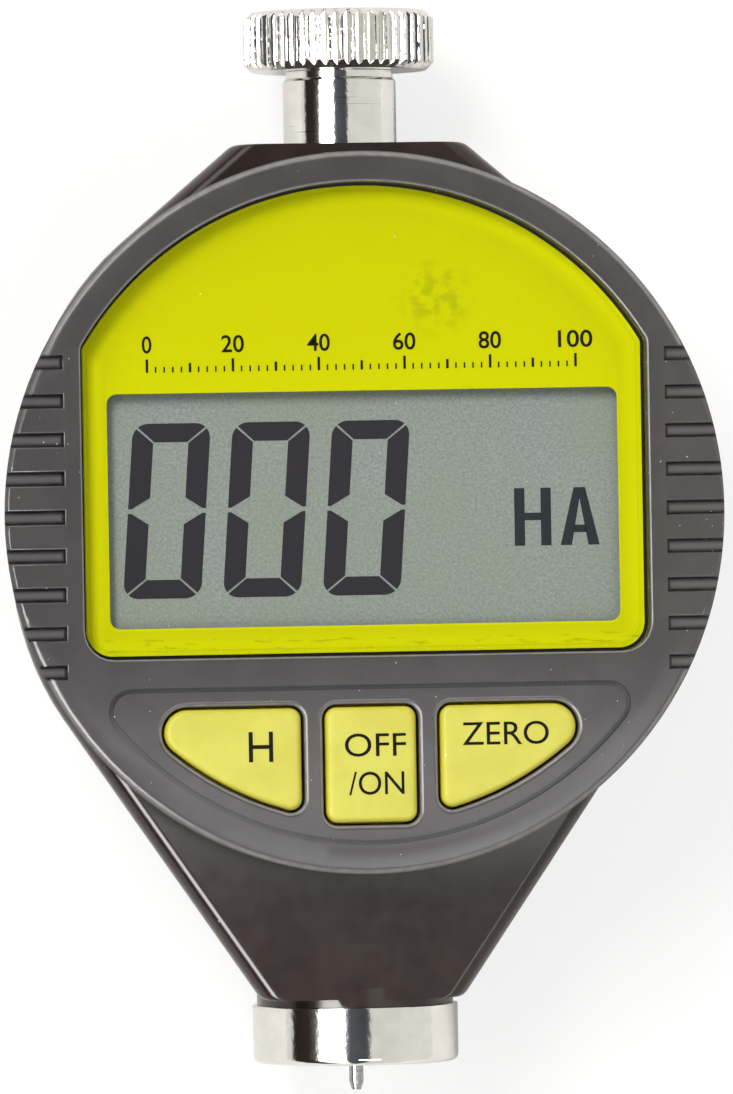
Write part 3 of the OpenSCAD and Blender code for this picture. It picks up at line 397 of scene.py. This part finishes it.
def ink(name, code, gloss=0.3):
    """Printed ink whose cover varies a little."""
    mat = surface(name, code, code, 900.0, 0.55, 0.05, ior=1.25, grain=4000.0, depth=1e-6)
    shader = next(n for n in mat.node_tree.nodes if n.type == "BSDF_PRINCIPLED")
    shader.inputs["Specular IOR Level"].default_value = gloss
    return mat


MATERIALS = {
    "body_black": surface("body_enamel", "2d2320", "352b28", 260.0, 0.19, 0.04, ior=1.5, grain=900.0,
                          depth=1.5e-6, dust=(700.0, 0.05, 0.16)),
    "plated_steel": plated("plated_steel"),
    "hard_steel": surface("ground_steel", "9c9c9c", "b4b4b2", 700.0, 0.24, metal=1.0,
                          stretch=(1.0, 6.0, 1.0)),
    "dark_steel": surface("blackened_steel", "2c2c2e", "3c3b3c", 900.0, 0.36, metal=1.0),
    "spring_steel": surface("spring_wire", "8d8d90", "a5a5a6", 900.0, 0.28, metal=1.0),
    "bush_brass": surface("turned_brass", "b8934a", "cba85e", 600.0, 0.27, metal=1.0,
                          stretch=(1.0, 5.0, 1.0)),
    "bare_aluminium": surface("milled_aluminium", "b5b6b8", "c8c9ca", 800.0, 0.34, metal=1.0,
                              stretch=(4.0, 1.0, 1.0)),
    "bezel_grey": bezel_grey(),
    "clear_lens": clear_lens(),
    "print_yellow": lime_print(),
    "lcd_grey": display_glass(),
    "key_yellow": key_yellow(),
    "contact_rubber": surface("contact_rubber", "1c1c1d", "303032", 1600.0, 0.7, stretch=(6.0, 0.4, 0.4)),
    "frame_white": surface("frame_white", "cfcec4", "dcdbd2", 500.0, 0.5),
    "board_green": surface("solder_mask", "12451f", "1b5a2b", 700.0, 0.35, dust=(1400.0, 0.1, 0.4)),
    "black_plastic": surface("black_moulding", "1b1b1c", "262627", 700.0, 0.46, grain=4200.0, depth=6e-6),
    "cell_steel": surface("cell_can", "b9b9b6", "cbcbc7", 500.0, 0.22, metal=1.0),
}
KNURL = plated("plated_knurl", crest=KNOB_R)
POST = plated("plated_post", lines=True)
INK = ink("print_ink", "0a0604")
SEGMENT = ink("segment_ink", "393742", 0.05)
UNIT = ink("unit_ink", "353944", 0.05)


# Outlines, in millimetres


def arc(centre, radius, start, end, steps):
    """Points on an arc, angles in degrees."""
    angles = [math.radians(start + (end - start) * i / steps) for i in range(steps + 1)]
    return [(centre[0] + radius * math.cos(a), centre[1] + radius * math.sin(a)) for a in angles]


def circle(centre, radius, sides):
    """Outline of a circle with that many sides."""
    return arc(centre, radius, 0, 360 - 360 / sides, sides - 1)


def bar(x0, x1, y0, y1):
    """Outline of a plain bar."""
    return [(x0, y0), (x1, y0), (x1, y1), (x0, y1)]


def both_sides(half):
    """A right half outline closed by its mirror image."""
    return half + [(-x, y) for x, y in reversed(half)]


def angle_of(point):
    """Angle of a point round the middle, in degrees."""
    return math.degrees(math.atan2(point[1], point[0]))


def window_outline(inset):
    """Outline of the window recess, moved in."""
    low = (WINDOW_HALF - WINDOW_CORNER, WINDOW_CORNER - WINDOW_BOTTOM)
    shoulder = max(WINDOW_SHOULDER - inset, 0.05)
    x = WINDOW_HALF - inset - shoulder
    high = (x, math.sqrt((WINDOW_R - inset - shoulder) ** 2 - x * x))
    turn = angle_of(high)
    return both_sides(
        arc(low, WINDOW_CORNER - inset, -90, 0, 14)
        + arc(high, shoulder, 0, turn, 10)
        + arc((0, 0), WINDOW_R - inset, turn, 90, 60)[1:-1]
    )


def view_outline():
    """Outline of the view through the print."""
    x, y = VIEW_W / 2 - VIEW_CORNER, VIEW_H / 2 - VIEW_CORNER
    return both_sides(
        arc((x, VIEW_Y - y), VIEW_CORNER, -90, 0, 10) + arc((x, VIEW_Y + y), VIEW_CORNER, 0, 90, 10)
    )


def right_key_outline(inset):
    """Outline of the right key, moved in."""
    y = -KEY_TOP - KEY_NOSE
    nose = (math.sqrt((SIDE_KEY_R - KEY_NOSE) ** 2 - y * y), y)
    x = SIDE_KEY_IN + KEY_CORNER
    low = (x, -math.sqrt((SIDE_KEY_R - KEY_CORNER) ** 2 - x * x))
    return (
        arc(low, KEY_CORNER - inset, -180, angle_of(low), 10)
        + arc((0, 0), SIDE_KEY_R - inset, angle_of(low), angle_of(nose), 16)[1:-1]
        + arc(nose, KEY_NOSE - inset, angle_of(nose), 90, 18)
        + arc((x, -KEY_TOP - KEY_CORNER), KEY_CORNER - inset, 90, 180, 10)
    )


def left_key_outline(inset):
    """Outline of the left key, moved in."""
    return [(-x, y) for x, y in reversed(right_key_outline(inset))]


def mid_key_outline(inset):
    """Outline of the middle key, moved in."""
    x, r = MID_KEY_W / 2 - KEY_CORNER, KEY_CORNER - inset
    low, high = KEY_CORNER - MID_KEY_BOTTOM, -KEY_TOP - KEY_CORNER
    return both_sides(arc((x, low), r, -90, 0, 10) + arc((x, high), r, 0, 90, 10))


def at_z(outline, z):
    """An outline lifted to a height."""
    return [(x, y, z) for x, y in outline]


# Meshes, built in millimetres


def place(name, mesh, material, body, slot):
    """A new piece that rides on a body."""
    obj = bpy.data.objects.new(name, mesh)
    scene.collection.objects.link(obj)
    obj.data.materials.clear()
    obj.data.materials.append(material)
    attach(obj, body)
    return obj


def to_mesh(bm, name, smooth=35.0):
    """A mesh from a bmesh in millimetres, with sharp edges above an angle in degrees."""
    bmesh.ops.recalc_face_normals(bm, faces=bm.faces)
    for face in bm.faces:
        face.smooth = True
    for edge in bm.edges:
        edge.smooth = len(edge.link_faces) == 2 and edge.calc_face_angle() < math.radians(smooth)
    bm.transform(Matrix.Scale(MM, 4))
    mesh = bpy.data.meshes.new(name)
    bm.to_mesh(mesh)
    bm.free()
    return mesh


def add_rings(bm, rings, cap_low=True, cap_high=True):
    """A skin through closed rings of points, with flat ends."""
    loops = [[bm.verts.new(p) for p in ring] for ring in rings]
    n = len(loops[0])
    for a, b in zip(loops, loops[1:]):
        for i in range(n):
            bm.faces.new((a[i], a[(i + 1) % n], b[(i + 1) % n], b[i]))
    if cap_low:
        bm.faces.new(loops[0][::-1])
    if cap_high:
        bm.faces.new(loops[-1])
    return loops


def fill_between(bm, *loops):
    """Flat faces between two closed loops of vertices."""
    edges = [bm.edges.get((loop[i], loop[(i + 1) % len(loop)])) for loop in loops for i in range(len(loop))]
    bmesh.ops.triangle_fill(bm, edges=edges, use_beauty=True)


def even_normals(obj):
    """Keeps large flat faces flat beside rounded edges."""
    mod = obj.modifiers.new("even", "WEIGHTED_NORMAL")
    mod.keep_sharp = True
    mod.weight = 60


def round_edges(obj, width, steps):
    """Rounds the sharp edges of a piece."""
    mod = obj.modifiers.new("edges", "BEVEL")
    mod.width = width * MM
    mod.segments = steps
    mod.limit_method = "ANGLE"
    mod.angle_limit = math.radians(40)
    mod.use_clamp_overlap = False
    mod.miter_outer = "MITER_ARC"


def crown_normals(obj, share):
    """Mixes a share of a flat dome's normals into a piece's own."""
    mod = obj.modifiers.new("crown", "NORMAL_EDIT")
    mod.mode = "RADIAL"
    mod.offset = (0.0, 0.0, -60 * MM)
    mod.mix_factor = share


def dressed(node, name, smooth=40.0, edge=0.0, steps=2, drop=None, crown=0.0, material=None):
    """A welded copy of a CAD node with rounded edges, which stands for the node."""
    weld, flat = 0.002, math.radians(0.4)
    bm = bmesh.new()
    bm.from_mesh(nodes[node].data)
    bm.transform(Matrix.Scale(1 / MM, 4))
    bmesh.ops.remove_doubles(bm, verts=bm.verts, dist=weld)
    if drop:
        bmesh.ops.delete(bm, geom=[f for f in bm.faces if drop(f.calc_center_median())], context="FACES")
        bmesh.ops.holes_fill(bm, edges=[e for e in bm.edges if e.is_boundary])
    bmesh.ops.dissolve_limit(bm, angle_limit=flat, verts=bm.verts, edges=bm.edges)
    slot = slots[node]
    obj = place(name, to_mesh(bm, name, smooth), material or MATERIALS[slot], bodies[node], slot)
    if edge:
        round_edges(obj, edge, steps)
    even_normals(obj)
    if crown:
        crown_normals(obj, crown)
    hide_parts(node)
    return obj


def flat_pieces(name, outlines, z, thick, material, body, slot):
    """Thin prints cut from outlines, lying at height z."""
    bm = bmesh.new()
    for outline in outlines:
        add_rings(bm, [at_z(outline, z), at_z(outline, z + thick)])
    return place(name, to_mesh(bm, name), material, body, slot)


def lettering(name, words, corners, z, material, body, slot, weight=0.0):
    """Words stretched into a box of corners x0, x1, y0, y1, as a thin print at height z."""
    curve = bpy.data.curves.new(name, "FONT")
    curve.body = words
    curve.offset = weight
    curve.resolution_u = 6
    holder = bpy.data.objects.new(name + "_curve", curve)
    scene.collection.objects.link(holder)
    graph = bpy.context.evaluated_depsgraph_get()
    mesh = bpy.data.meshes.new_from_object(holder.evaluated_get(graph))
    bpy.data.objects.remove(holder)
    bm = bmesh.new()
    bm.from_mesh(mesh)
    bpy.data.meshes.remove(mesh)
    bmesh.ops.remove_doubles(bm, verts=bm.verts, dist=1e-5)
    xs, ys = [v.co.x for v in bm.verts], [v.co.y for v in bm.verts]
    x0, x1, y0, y1 = corners
    for v in bm.verts:
        v.co.x = x0 + (v.co.x - min(xs)) * (x1 - x0) / (max(xs) - min(xs))
        v.co.y = y0 + (v.co.y - min(ys)) * (y1 - y0) / (max(ys) - min(ys))
        v.co.z = z
    side = bmesh.ops.extrude_face_region(bm, geom=bm.faces[:])
    for v in [g for g in side["geom"] if isinstance(g, bmesh.types.BMVert)]:
        v.co.z += INK_THICK
    return place(name, to_mesh(bm, name), material, body, slot)


# Body, bezel, plated pieces and spring

dressed("main_body", "body_casting")
dressed("front_bezel", "bezel_moulding", crown=0.22)
dressed("presser_foot", "foot_disc", edge=0.08)
dressed("stem", "stem_post", material=POST)
dressed("knob_washer", "washer_ring", edge=0.06)
dressed("indenter", "indenter_pin", 25.0)
dressed("battery_cap", "cap_disc", edge=0.08)

spring = dressed("main_spring", "spring_coil", 50.0)
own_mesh(spring)

dressed("knob", "knob_head", 25.0, 0.05, 1, drop=lambda c: c.y < KNOB_FACE - 0.01, material=KNURL)


def threaded_stud():
    """The knob's stud with a helical thread that fades out below the knob."""
    radius, depth, pitch, point_in = 2.8, 0.32, 1.0, 0.5
    plain, fade, crest = 0.9, 0.6, 0.15
    sides, rows_per_mm = 36, 12
    low, high = KNOB_LOW, KNOB_FACE + 0.3
    rows = rows_per_mm * int(high - low)
    rings = []
    for k in range(rows + 1):
        y = low + (high - low) * k / rows
        cut = depth * min(1.0, max(0.0, (high - plain - y) / fade))
        ring = []
        for i in range(sides):
            t = 2 * math.pi * i / sides
            wave = abs(((y / pitch - i / sides) % 1.0) * 2 - 1)
            r = radius - cut * (crest + (1 - crest) * wave) if k else radius - point_in
            ring.append((r * math.cos(t), y, AXIS_Z + r * math.sin(t)))
        rings.append(ring)
    bm = bmesh.new()
    add_rings(bm, rings)
    mesh = to_mesh(bm, "knob_thread", 60.0)
    place("knob_thread", mesh, MATERIALS["plated_steel"], "knob", "plated_steel")


threaded_stud()


# Window: lens, print and display


def lens():
    """Clear lens with a rounded upper edge."""
    edge = [(0.0, LENS_Z + 0.03), (0.0, LENS_TOP - 0.2), (0.04, LENS_TOP - 0.1), (0.12, LENS_TOP - 0.03),
            (0.24, LENS_TOP)]
    bm = bmesh.new()
    add_rings(bm, [at_z(window_outline(LENS_GAP + inset), z) for inset, z in edge])
    obj = place("lens_plate", to_mesh(bm, "lens_plate", 30.0), MATERIALS["clear_lens"], "main", "clear_lens")
    even_normals(obj)
    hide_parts("window_lens")


lens()


def yellow_print():
    """Yellow print round the view, with an attribute that sets how strong the painted highlight along its
    edges is.
    """
    low = LENS_Z - 0.1
    # Strength of the painted highlight by inset from the outer edge
    edge_highlight = [(0.0, 1.0), (0.3, 1.0), (0.36, 0.35), (0.42, 0.35), (0.5, 0.95), (1.0, 0.75), (1.5, 0.35),
              (2.0, 0.0)]
    # Strength of the painted highlight round the view
    view_edge_highlight = 0.45
    bm = bmesh.new()
    tag = bm.verts.layers.float.new("edge_highlight")
    rings = [at_z(window_outline(LENS_GAP), low)]
    rings += [at_z(window_outline(LENS_GAP + inset), LENS_Z) for inset, _ in edge_highlight]
    outer = add_rings(bm, rings, False, False)
    for loop, (_, bright) in zip(outer[1:], edge_highlight):
        for v in loop:
            v[tag] = bright
    inner = add_rings(bm, [at_z(view_outline(), z) for z in (LENS_Z, low)], False, False)
    for v in inner[0]:
        v[tag] = view_edge_highlight
    fill_between(bm, outer[-1], inner[0])
    fill_between(bm, outer[0], inner[1])
    mesh = to_mesh(bm, "print_mask", 30.0)
    obj = place("print_mask", mesh, MATERIALS["print_yellow"], "main", "print_yellow")
    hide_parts("window_print")


yellow_print()


def scale_print():
    """A plain scale from 0 to 100 above the view, with ticks and numbers."""
    left, length, base = -18.6, 37.2, 12.35
    number_low, number_high, half_widths = 14.0, 15.5, (0.42, 0.98, 1.5)
    ticks, numbers = 50, 5
    bars = []
    for i in range(ticks + 1):
        x = left + length * i / ticks
        tall = 1.15 if i % 10 == 0 else 0.8 if i % 5 == 0 else 0.5
        half = 0.11 if i % 5 == 0 else 0.07
        bars.append(bar(x - half, x + half, base, base + tall))
    flat_pieces("scale_ticks", bars, SCALE_Z, TICK_THICK, INK, "main", "print_yellow")
    for i in range(numbers + 1):
        words = str(100 * i // numbers)
        x, half = left + length * i / numbers, half_widths[len(words) - 1]
        corners = (x - half, x + half, number_low, number_high)
        lettering(f"scale_number_{i}", words, corners, SCALE_Z, INK, "main", "print_yellow", 0.012)


scale_print()


def digit(x0, y0):
    """The six lit segments of a slanted zero, as outlines."""
    width, height, thick, bar_thick, lean = 6.75, 15.1, 1.85, 1.62, math.tan(math.radians(4.2))
    mid, r, gap, slit = height / 2, 1.35, 0.1, 4
    corner = (r, height - r)
    top = arc(corner, r, 135 - slit, 90, 6)
    top += [(width - x, y) for x, y in reversed(top)]
    top += [(width - thick - gap, height - bar_thick), (thick + gap, height - bar_thick)]
    side = arc(corner, r, 135 + slit, 180, 6) + [(0, mid + 0.2), (0.3, mid + 0.2), (thick, mid + 1.15)]
    side += [(thick, height - bar_thick - gap)]
    shapes = [top[::-1], side, [(width - x, y) for x, y in side][::-1]]
    shapes += [[(x, height - y) for x, y in s][::-1] for s in shapes]
    return [[(x0 + x + y * lean, y0 + y) for x, y in s] for s in shapes]


def display_digits():
    """Three zeros on the display."""
    first_x, step, base = -20.9, 8.65, -7.12
    segments = [s for k in range(3) for s in digit(first_x + step * k, base)]
    flat_pieces("display_digits", segments, DISPLAY_Z, INK_THICK, SEGMENT, "main", "lcd_grey")


display_digits()


def unit_sign():
    """The unit beside the digits: a letter of bars and a pointed one."""
    low, high, thick = -3.1, 1.9, 0.9
    left, right, bridge_low, bridge_high = 13.2, 16.4, low + 2.2, low + 2.85
    shapes = [bar(left, left + thick, low, high), bar(right - thick, right, low, high)]
    shapes.append(bar(left + thick, right - thick, bridge_low, bridge_high))
    middle, foot, peak, notch, slant_thick = 18.9, 1.7, 0.5, 0.95, 1.08 * thick
    cross_low, cross_high, overlap = 1.1, 1.75, 0.06
    foot_in = foot - slant_thick

    def leg(s):
        """One leg of the pointed letter, the right one for 1 and the left one for -1."""
        return [(middle + s * foot, low), (middle + s * foot_in, low), (middle, high - notch), (middle, high),
                (middle + s * peak, high)]

    def opening(rise):
        """Half the crossbar's width at a height above the foot."""
        return foot_in * (1 - rise / (high - low - notch)) + overlap

    a, b = opening(cross_low), opening(cross_high)
    shapes += [leg(1)[::-1], leg(-1)]
    shapes.append([(middle - a, low + cross_low), (middle + a, low + cross_low),
                   (middle + b, low + cross_high), (middle - b, low + cross_high)])
    flat_pieces("display_unit", shapes, DISPLAY_Z, INK_THICK, UNIT, "main", "lcd_grey")


unit_sign()


# Keys


def key(node, name, outline, boss):
    """A key with a soft rounded edge, its flange and its boss."""
    steps, boss_sides, boss_top = 9, 24, FLANGE_Z + 0.2
    rings = [at_z(outline(-KEY_FLANGE), FLANGE_Z), at_z(outline(-KEY_FLANGE), FLANGE_TOP)]
    rings.append(at_z(outline(-KEY_FIT), FLANGE_TOP))
    for k in range(steps + 1):
        a = math.radians(90 * k / steps)
        inset, drop = KEY_ROUND * (1 - math.cos(a)) - KEY_FIT, KEY_ROUND * (1 - math.sin(a))
        rings.append(at_z(outline(inset), KEY_RIM - drop))
    rings.append(at_z(outline(KEY_MIDDLE_IN), KEY_MIDDLE))
    bm = bmesh.new()
    add_rings(bm, rings)
    add_rings(bm, [at_z(circle(boss, BOSS_R, boss_sides), z) for z in (KEY_LOW, boss_top)])
    obj = place(name, to_mesh(bm, name, 45.0), MATERIALS["key_yellow"], bodies[node], "key_yellow")
    even_normals(obj)
    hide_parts(node)


key("hold_key", "hold_key_cap", left_key_outline, (-SIDE_BOSS_X, SIDE_BOSS_Y))
key("power_key", "power_key_cap", mid_key_outline, (0.0, MID_BOSS_Y))
key("zero_key", "zero_key_cap", right_key_outline, (SIDE_BOSS_X, SIDE_BOSS_Y))

LEGENDS = [
    ("hold_legend", "H", (-10.6, -8.5, -21.3, -18.7), "hold_key"),
    ("off_legend", "OFF", (-2.3, 3.0, -21.0, -19.0), "power_key"),
    ("on_legend", "/ON", (-2.0, 2.8, -24.3, -22.3), "power_key"),
    ("zero_legend", "ZERO", (7.9, 15.4, -20.2, -18.2), "zero_key"),
]
for name, words, corners, body in LEGENDS:
    lettering(name, words, corners, LEGEND_Z, INK, body, "key_yellow")


# Case screws with cross recesses


def screws():
    """Screw heads with a cross recess, and plain shanks."""
    circle_r, rows = 24.5, (17.62, -14.98)
    head_z, seat_z = 0.4, 1.9
    profile = [(1.7, head_z), (1.86, head_z + 0.08), (1.9, head_z + 0.25), (1.9, seat_z), (1.0, seat_z),
               (1.0, SCREW_END - 0.3), (0.7, SCREW_END)]
    arm, reach, deep, floor_size = 0.24, 1.15, 0.7, 0.6
    cross, quarter = [], [(arm, arm), (arm, reach), (-arm, reach)]
    for _ in range(4):
        cross += quarter
        quarter = [(-y, x) for x, y in quarter]
    ring = circle((0, 0), 1.0, 48)
    bm = bmesh.new()
    for py in rows:
        for side in (1, -1):
            px = side * math.sqrt(circle_r**2 - py * py)
            turned = [[(px + x * r, py + y * r, z) for x, y in ring] for r, z in profile]
            rim = add_rings(bm, turned, False)[0]
            recess = [[(px + x * size, py + y * size, z) for x, y in cross]
                      for size, z in ((1.0, head_z), (floor_size, head_z + deep))]
            fill_between(bm, rim, add_rings(bm, recess, False)[0])
    obj = place("screw_set", to_mesh(bm, "screw_set"), MATERIALS["dark_steel"], "main", "dark_steel")
    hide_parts("case_screws")


screws()

for node, obj in nodes.items():
    obj.material_slots[0].material = MATERIALS[slots[node]]


# Floor, light and camera


def floor():
    """A plain pale floor that keeps the shadow: near white to the camera, shaded in reflections."""
    half_size, drop = 3000.0, 0.02
    bm = bmesh.new()
    bmesh.ops.create_grid(bm, x_segments=2, y_segments=2, size=half_size)
    obj = bpy.data.objects.new("floor", to_mesh(bm, "floor"))
    obj.location.z = -drop * MM
    scene.collection.objects.link(obj)
    mat = bpy.data.materials.new("floor_white")
    mat.use_nodes = True
    tree = mat.node_tree
    tree.nodes.clear()
    matte = add(tree, "BsdfDiffuse", {"Color": (0.24, 0.24, 0.24, 1.0)})
    glow = add(tree, "Emission", {"Color": (1.0, 1.0, 1.0, 1.0), "Strength": 0.78})
    both = add(tree, "AddShader", {0: matte.outputs[0], 1: glow.outputs[0]})
    shaded = add(tree, "BsdfDiffuse", {"Color": (0.86, 0.86, 0.85, 1.0)})
    glossy = add(tree, "LightPath").outputs["Is Glossy Ray"]
    shown = add(tree, "MixShader", {0: glossy, 1: both.outputs[0], 2: shaded.outputs[0]})
    add(tree, "OutputMaterial", {"Surface": shown.outputs[0]})
    obj.data.materials.append(mat)


floor()


def studio():
    """Studio light: bands round the Y axis and boxes for reflections, soft light for the rest."""
    world = bpy.data.worlds.new("studio")
    scene.world = world
    world.use_nodes = True
    tree = world.node_tree
    tree.nodes.clear()
    x, y, z = split(tree, add(tree, "TexCoord").outputs["Generated"])
    degrees = 180 / math.pi
    turn = times(tree, calc(tree, "ARCTAN2", x, z), degrees)
    rise = times(tree, calc(tree, "ARCSINE", y), degrees)

    # Colours of the bands by their angle round the Y axis, 0 straight up and positive to the right
    reach = 100.0
    stops = [
        (-100, "efeeea"), (-84, "e6e4df"), (-80, "5a4d48"), (-77, "2d2522"), (-60, "332c29"), (-51, "6a635f"),
        (-48, "ffffff"), (-18, "ffffff"), (-16, "8d929b"), (-12, "565a61"), (4, "484a4f"), (8.5, "55565a"),
        (11, "e2e0da"), (60, "e6e4de"), (88, "eeece8"), (94, "ffffff"), (100, "ffffff"),
    ]
    share = add(tree, "MapRange", {"Value": turn, "From Min": -reach, "From Max": reach}).outputs[0]
    ramp = add(tree, "ValToRGB", {0: share})
    while len(ramp.color_ramp.elements) < len(stops):
        ramp.color_ramp.elements.new(0.5)
    for element, (angle, code) in zip(ramp.color_ramp.elements, stops):
        element.position = (angle + reach) / (2 * reach)
        element.color = linear(code)

    def patch(turns, rises, soft):
        """A mask of the sky between two turns and two rises, with soft edges."""
        masks = [
            band(tree, value, (low - soft, low + soft), (high - soft, high + soft))
            for value, (low, high) in ((turn, turns), (rise, rises))
        ]
        return times(tree, *masks)

    def total(base, *parts):
        """A strength with that of masked parts added."""
        for mask, strength in parts:
            base = calc(tree, "ADD", base, times(tree, mask, strength))
        return base

    strip = patch((-47.0, -18.0), (-80.0, 80.0), 1.0)
    core = patch((-46.0, -19.0), (-36.0, 4.0), 1.5)
    below = patch((-2.0, 22.0), (-28.0, -9.0), 2.0)
    key_light = patch((-36.0, -18.0), (16.0, 40.0), 2.0)

    in_bands = total(1.0, (strip, 0.7), (core, 14.0))
    bands = add(tree, "Background", {"Color": ramp.outputs[0], "Strength": in_bands})
    boxes = add(tree, "Background", {"Color": linear("f3f3f5"), "Strength": total(0.0, (below, 5.0))})
    mirrored = add(tree, "AddShader", {0: bands.outputs[0], 1: boxes.outputs[0]})
    in_soft = total(0.5, (key_light, 20.0), (below, 2.5))
    soft = add(tree, "Background", {"Color": linear("fbf8f4"), "Strength": in_soft})
    white = add(tree, "Background", {"Color": (1.0, 1.0, 1.0, 1.0), "Strength": 1.0})
    ray = add(tree, "LightPath").outputs
    light = add(tree, "MixShader", {0: ray["Is Glossy Ray"], 1: soft.outputs[0], 2: mirrored.outputs[0]})
    seen = add(tree, "MixShader", {0: ray["Is Camera Ray"], 1: light.outputs[0], 2: white.outputs[0]})
    add(tree, "OutputWorld", {"Surface": seen.outputs[0]})


studio()


def fill_panel():
    """A soft panel above the lower half of the bezel, which shows only in its gloss."""
    data = bpy.data.lights.new("fill_panel", "AREA")
    data.shape = "RECTANGLE"
    data.size, data.size_y = 64 * MM, 12 * MM
    data.energy = 0.0068
    obj = bpy.data.objects.new("fill_panel", data)
    obj.location = Vector((8, -26, 90)) * MM
    obj.visible_camera = obj.visible_diffuse = obj.visible_transmission = False
    scene.collection.objects.link(obj)


fill_panel()


def camera():
    """Camera at the photograph's angle: from above, a little to the left, with a small roll."""
    side, roll = math.radians(6.1), math.radians(1.0)
    target, distance = Vector((0, -2.97, 26.0)) * MM, 850 * MM
    data = bpy.data.cameras.new("camera")
    data.sensor_fit = "VERTICAL"
    data.sensor_height = 36.0
    data.lens = 324.6
    data.clip_start, data.clip_end = 0.05, 20.0
    obj = bpy.data.objects.new("camera", data)
    scene.collection.objects.link(obj)
    back = Vector((-math.sin(side), 0, math.cos(side)))
    right = Vector((math.cos(side), 0, math.sin(side)))
    up = Vector((0, 1, 0))
    x = right * math.cos(roll) - up * math.sin(roll)
    y = right * math.sin(roll) + up * math.cos(roll)
    turn = Matrix((x, y, back)).transposed().to_4x4()
    obj.matrix_world = Matrix.Translation(target + back * distance) @ turn
    scene.camera = obj


camera()
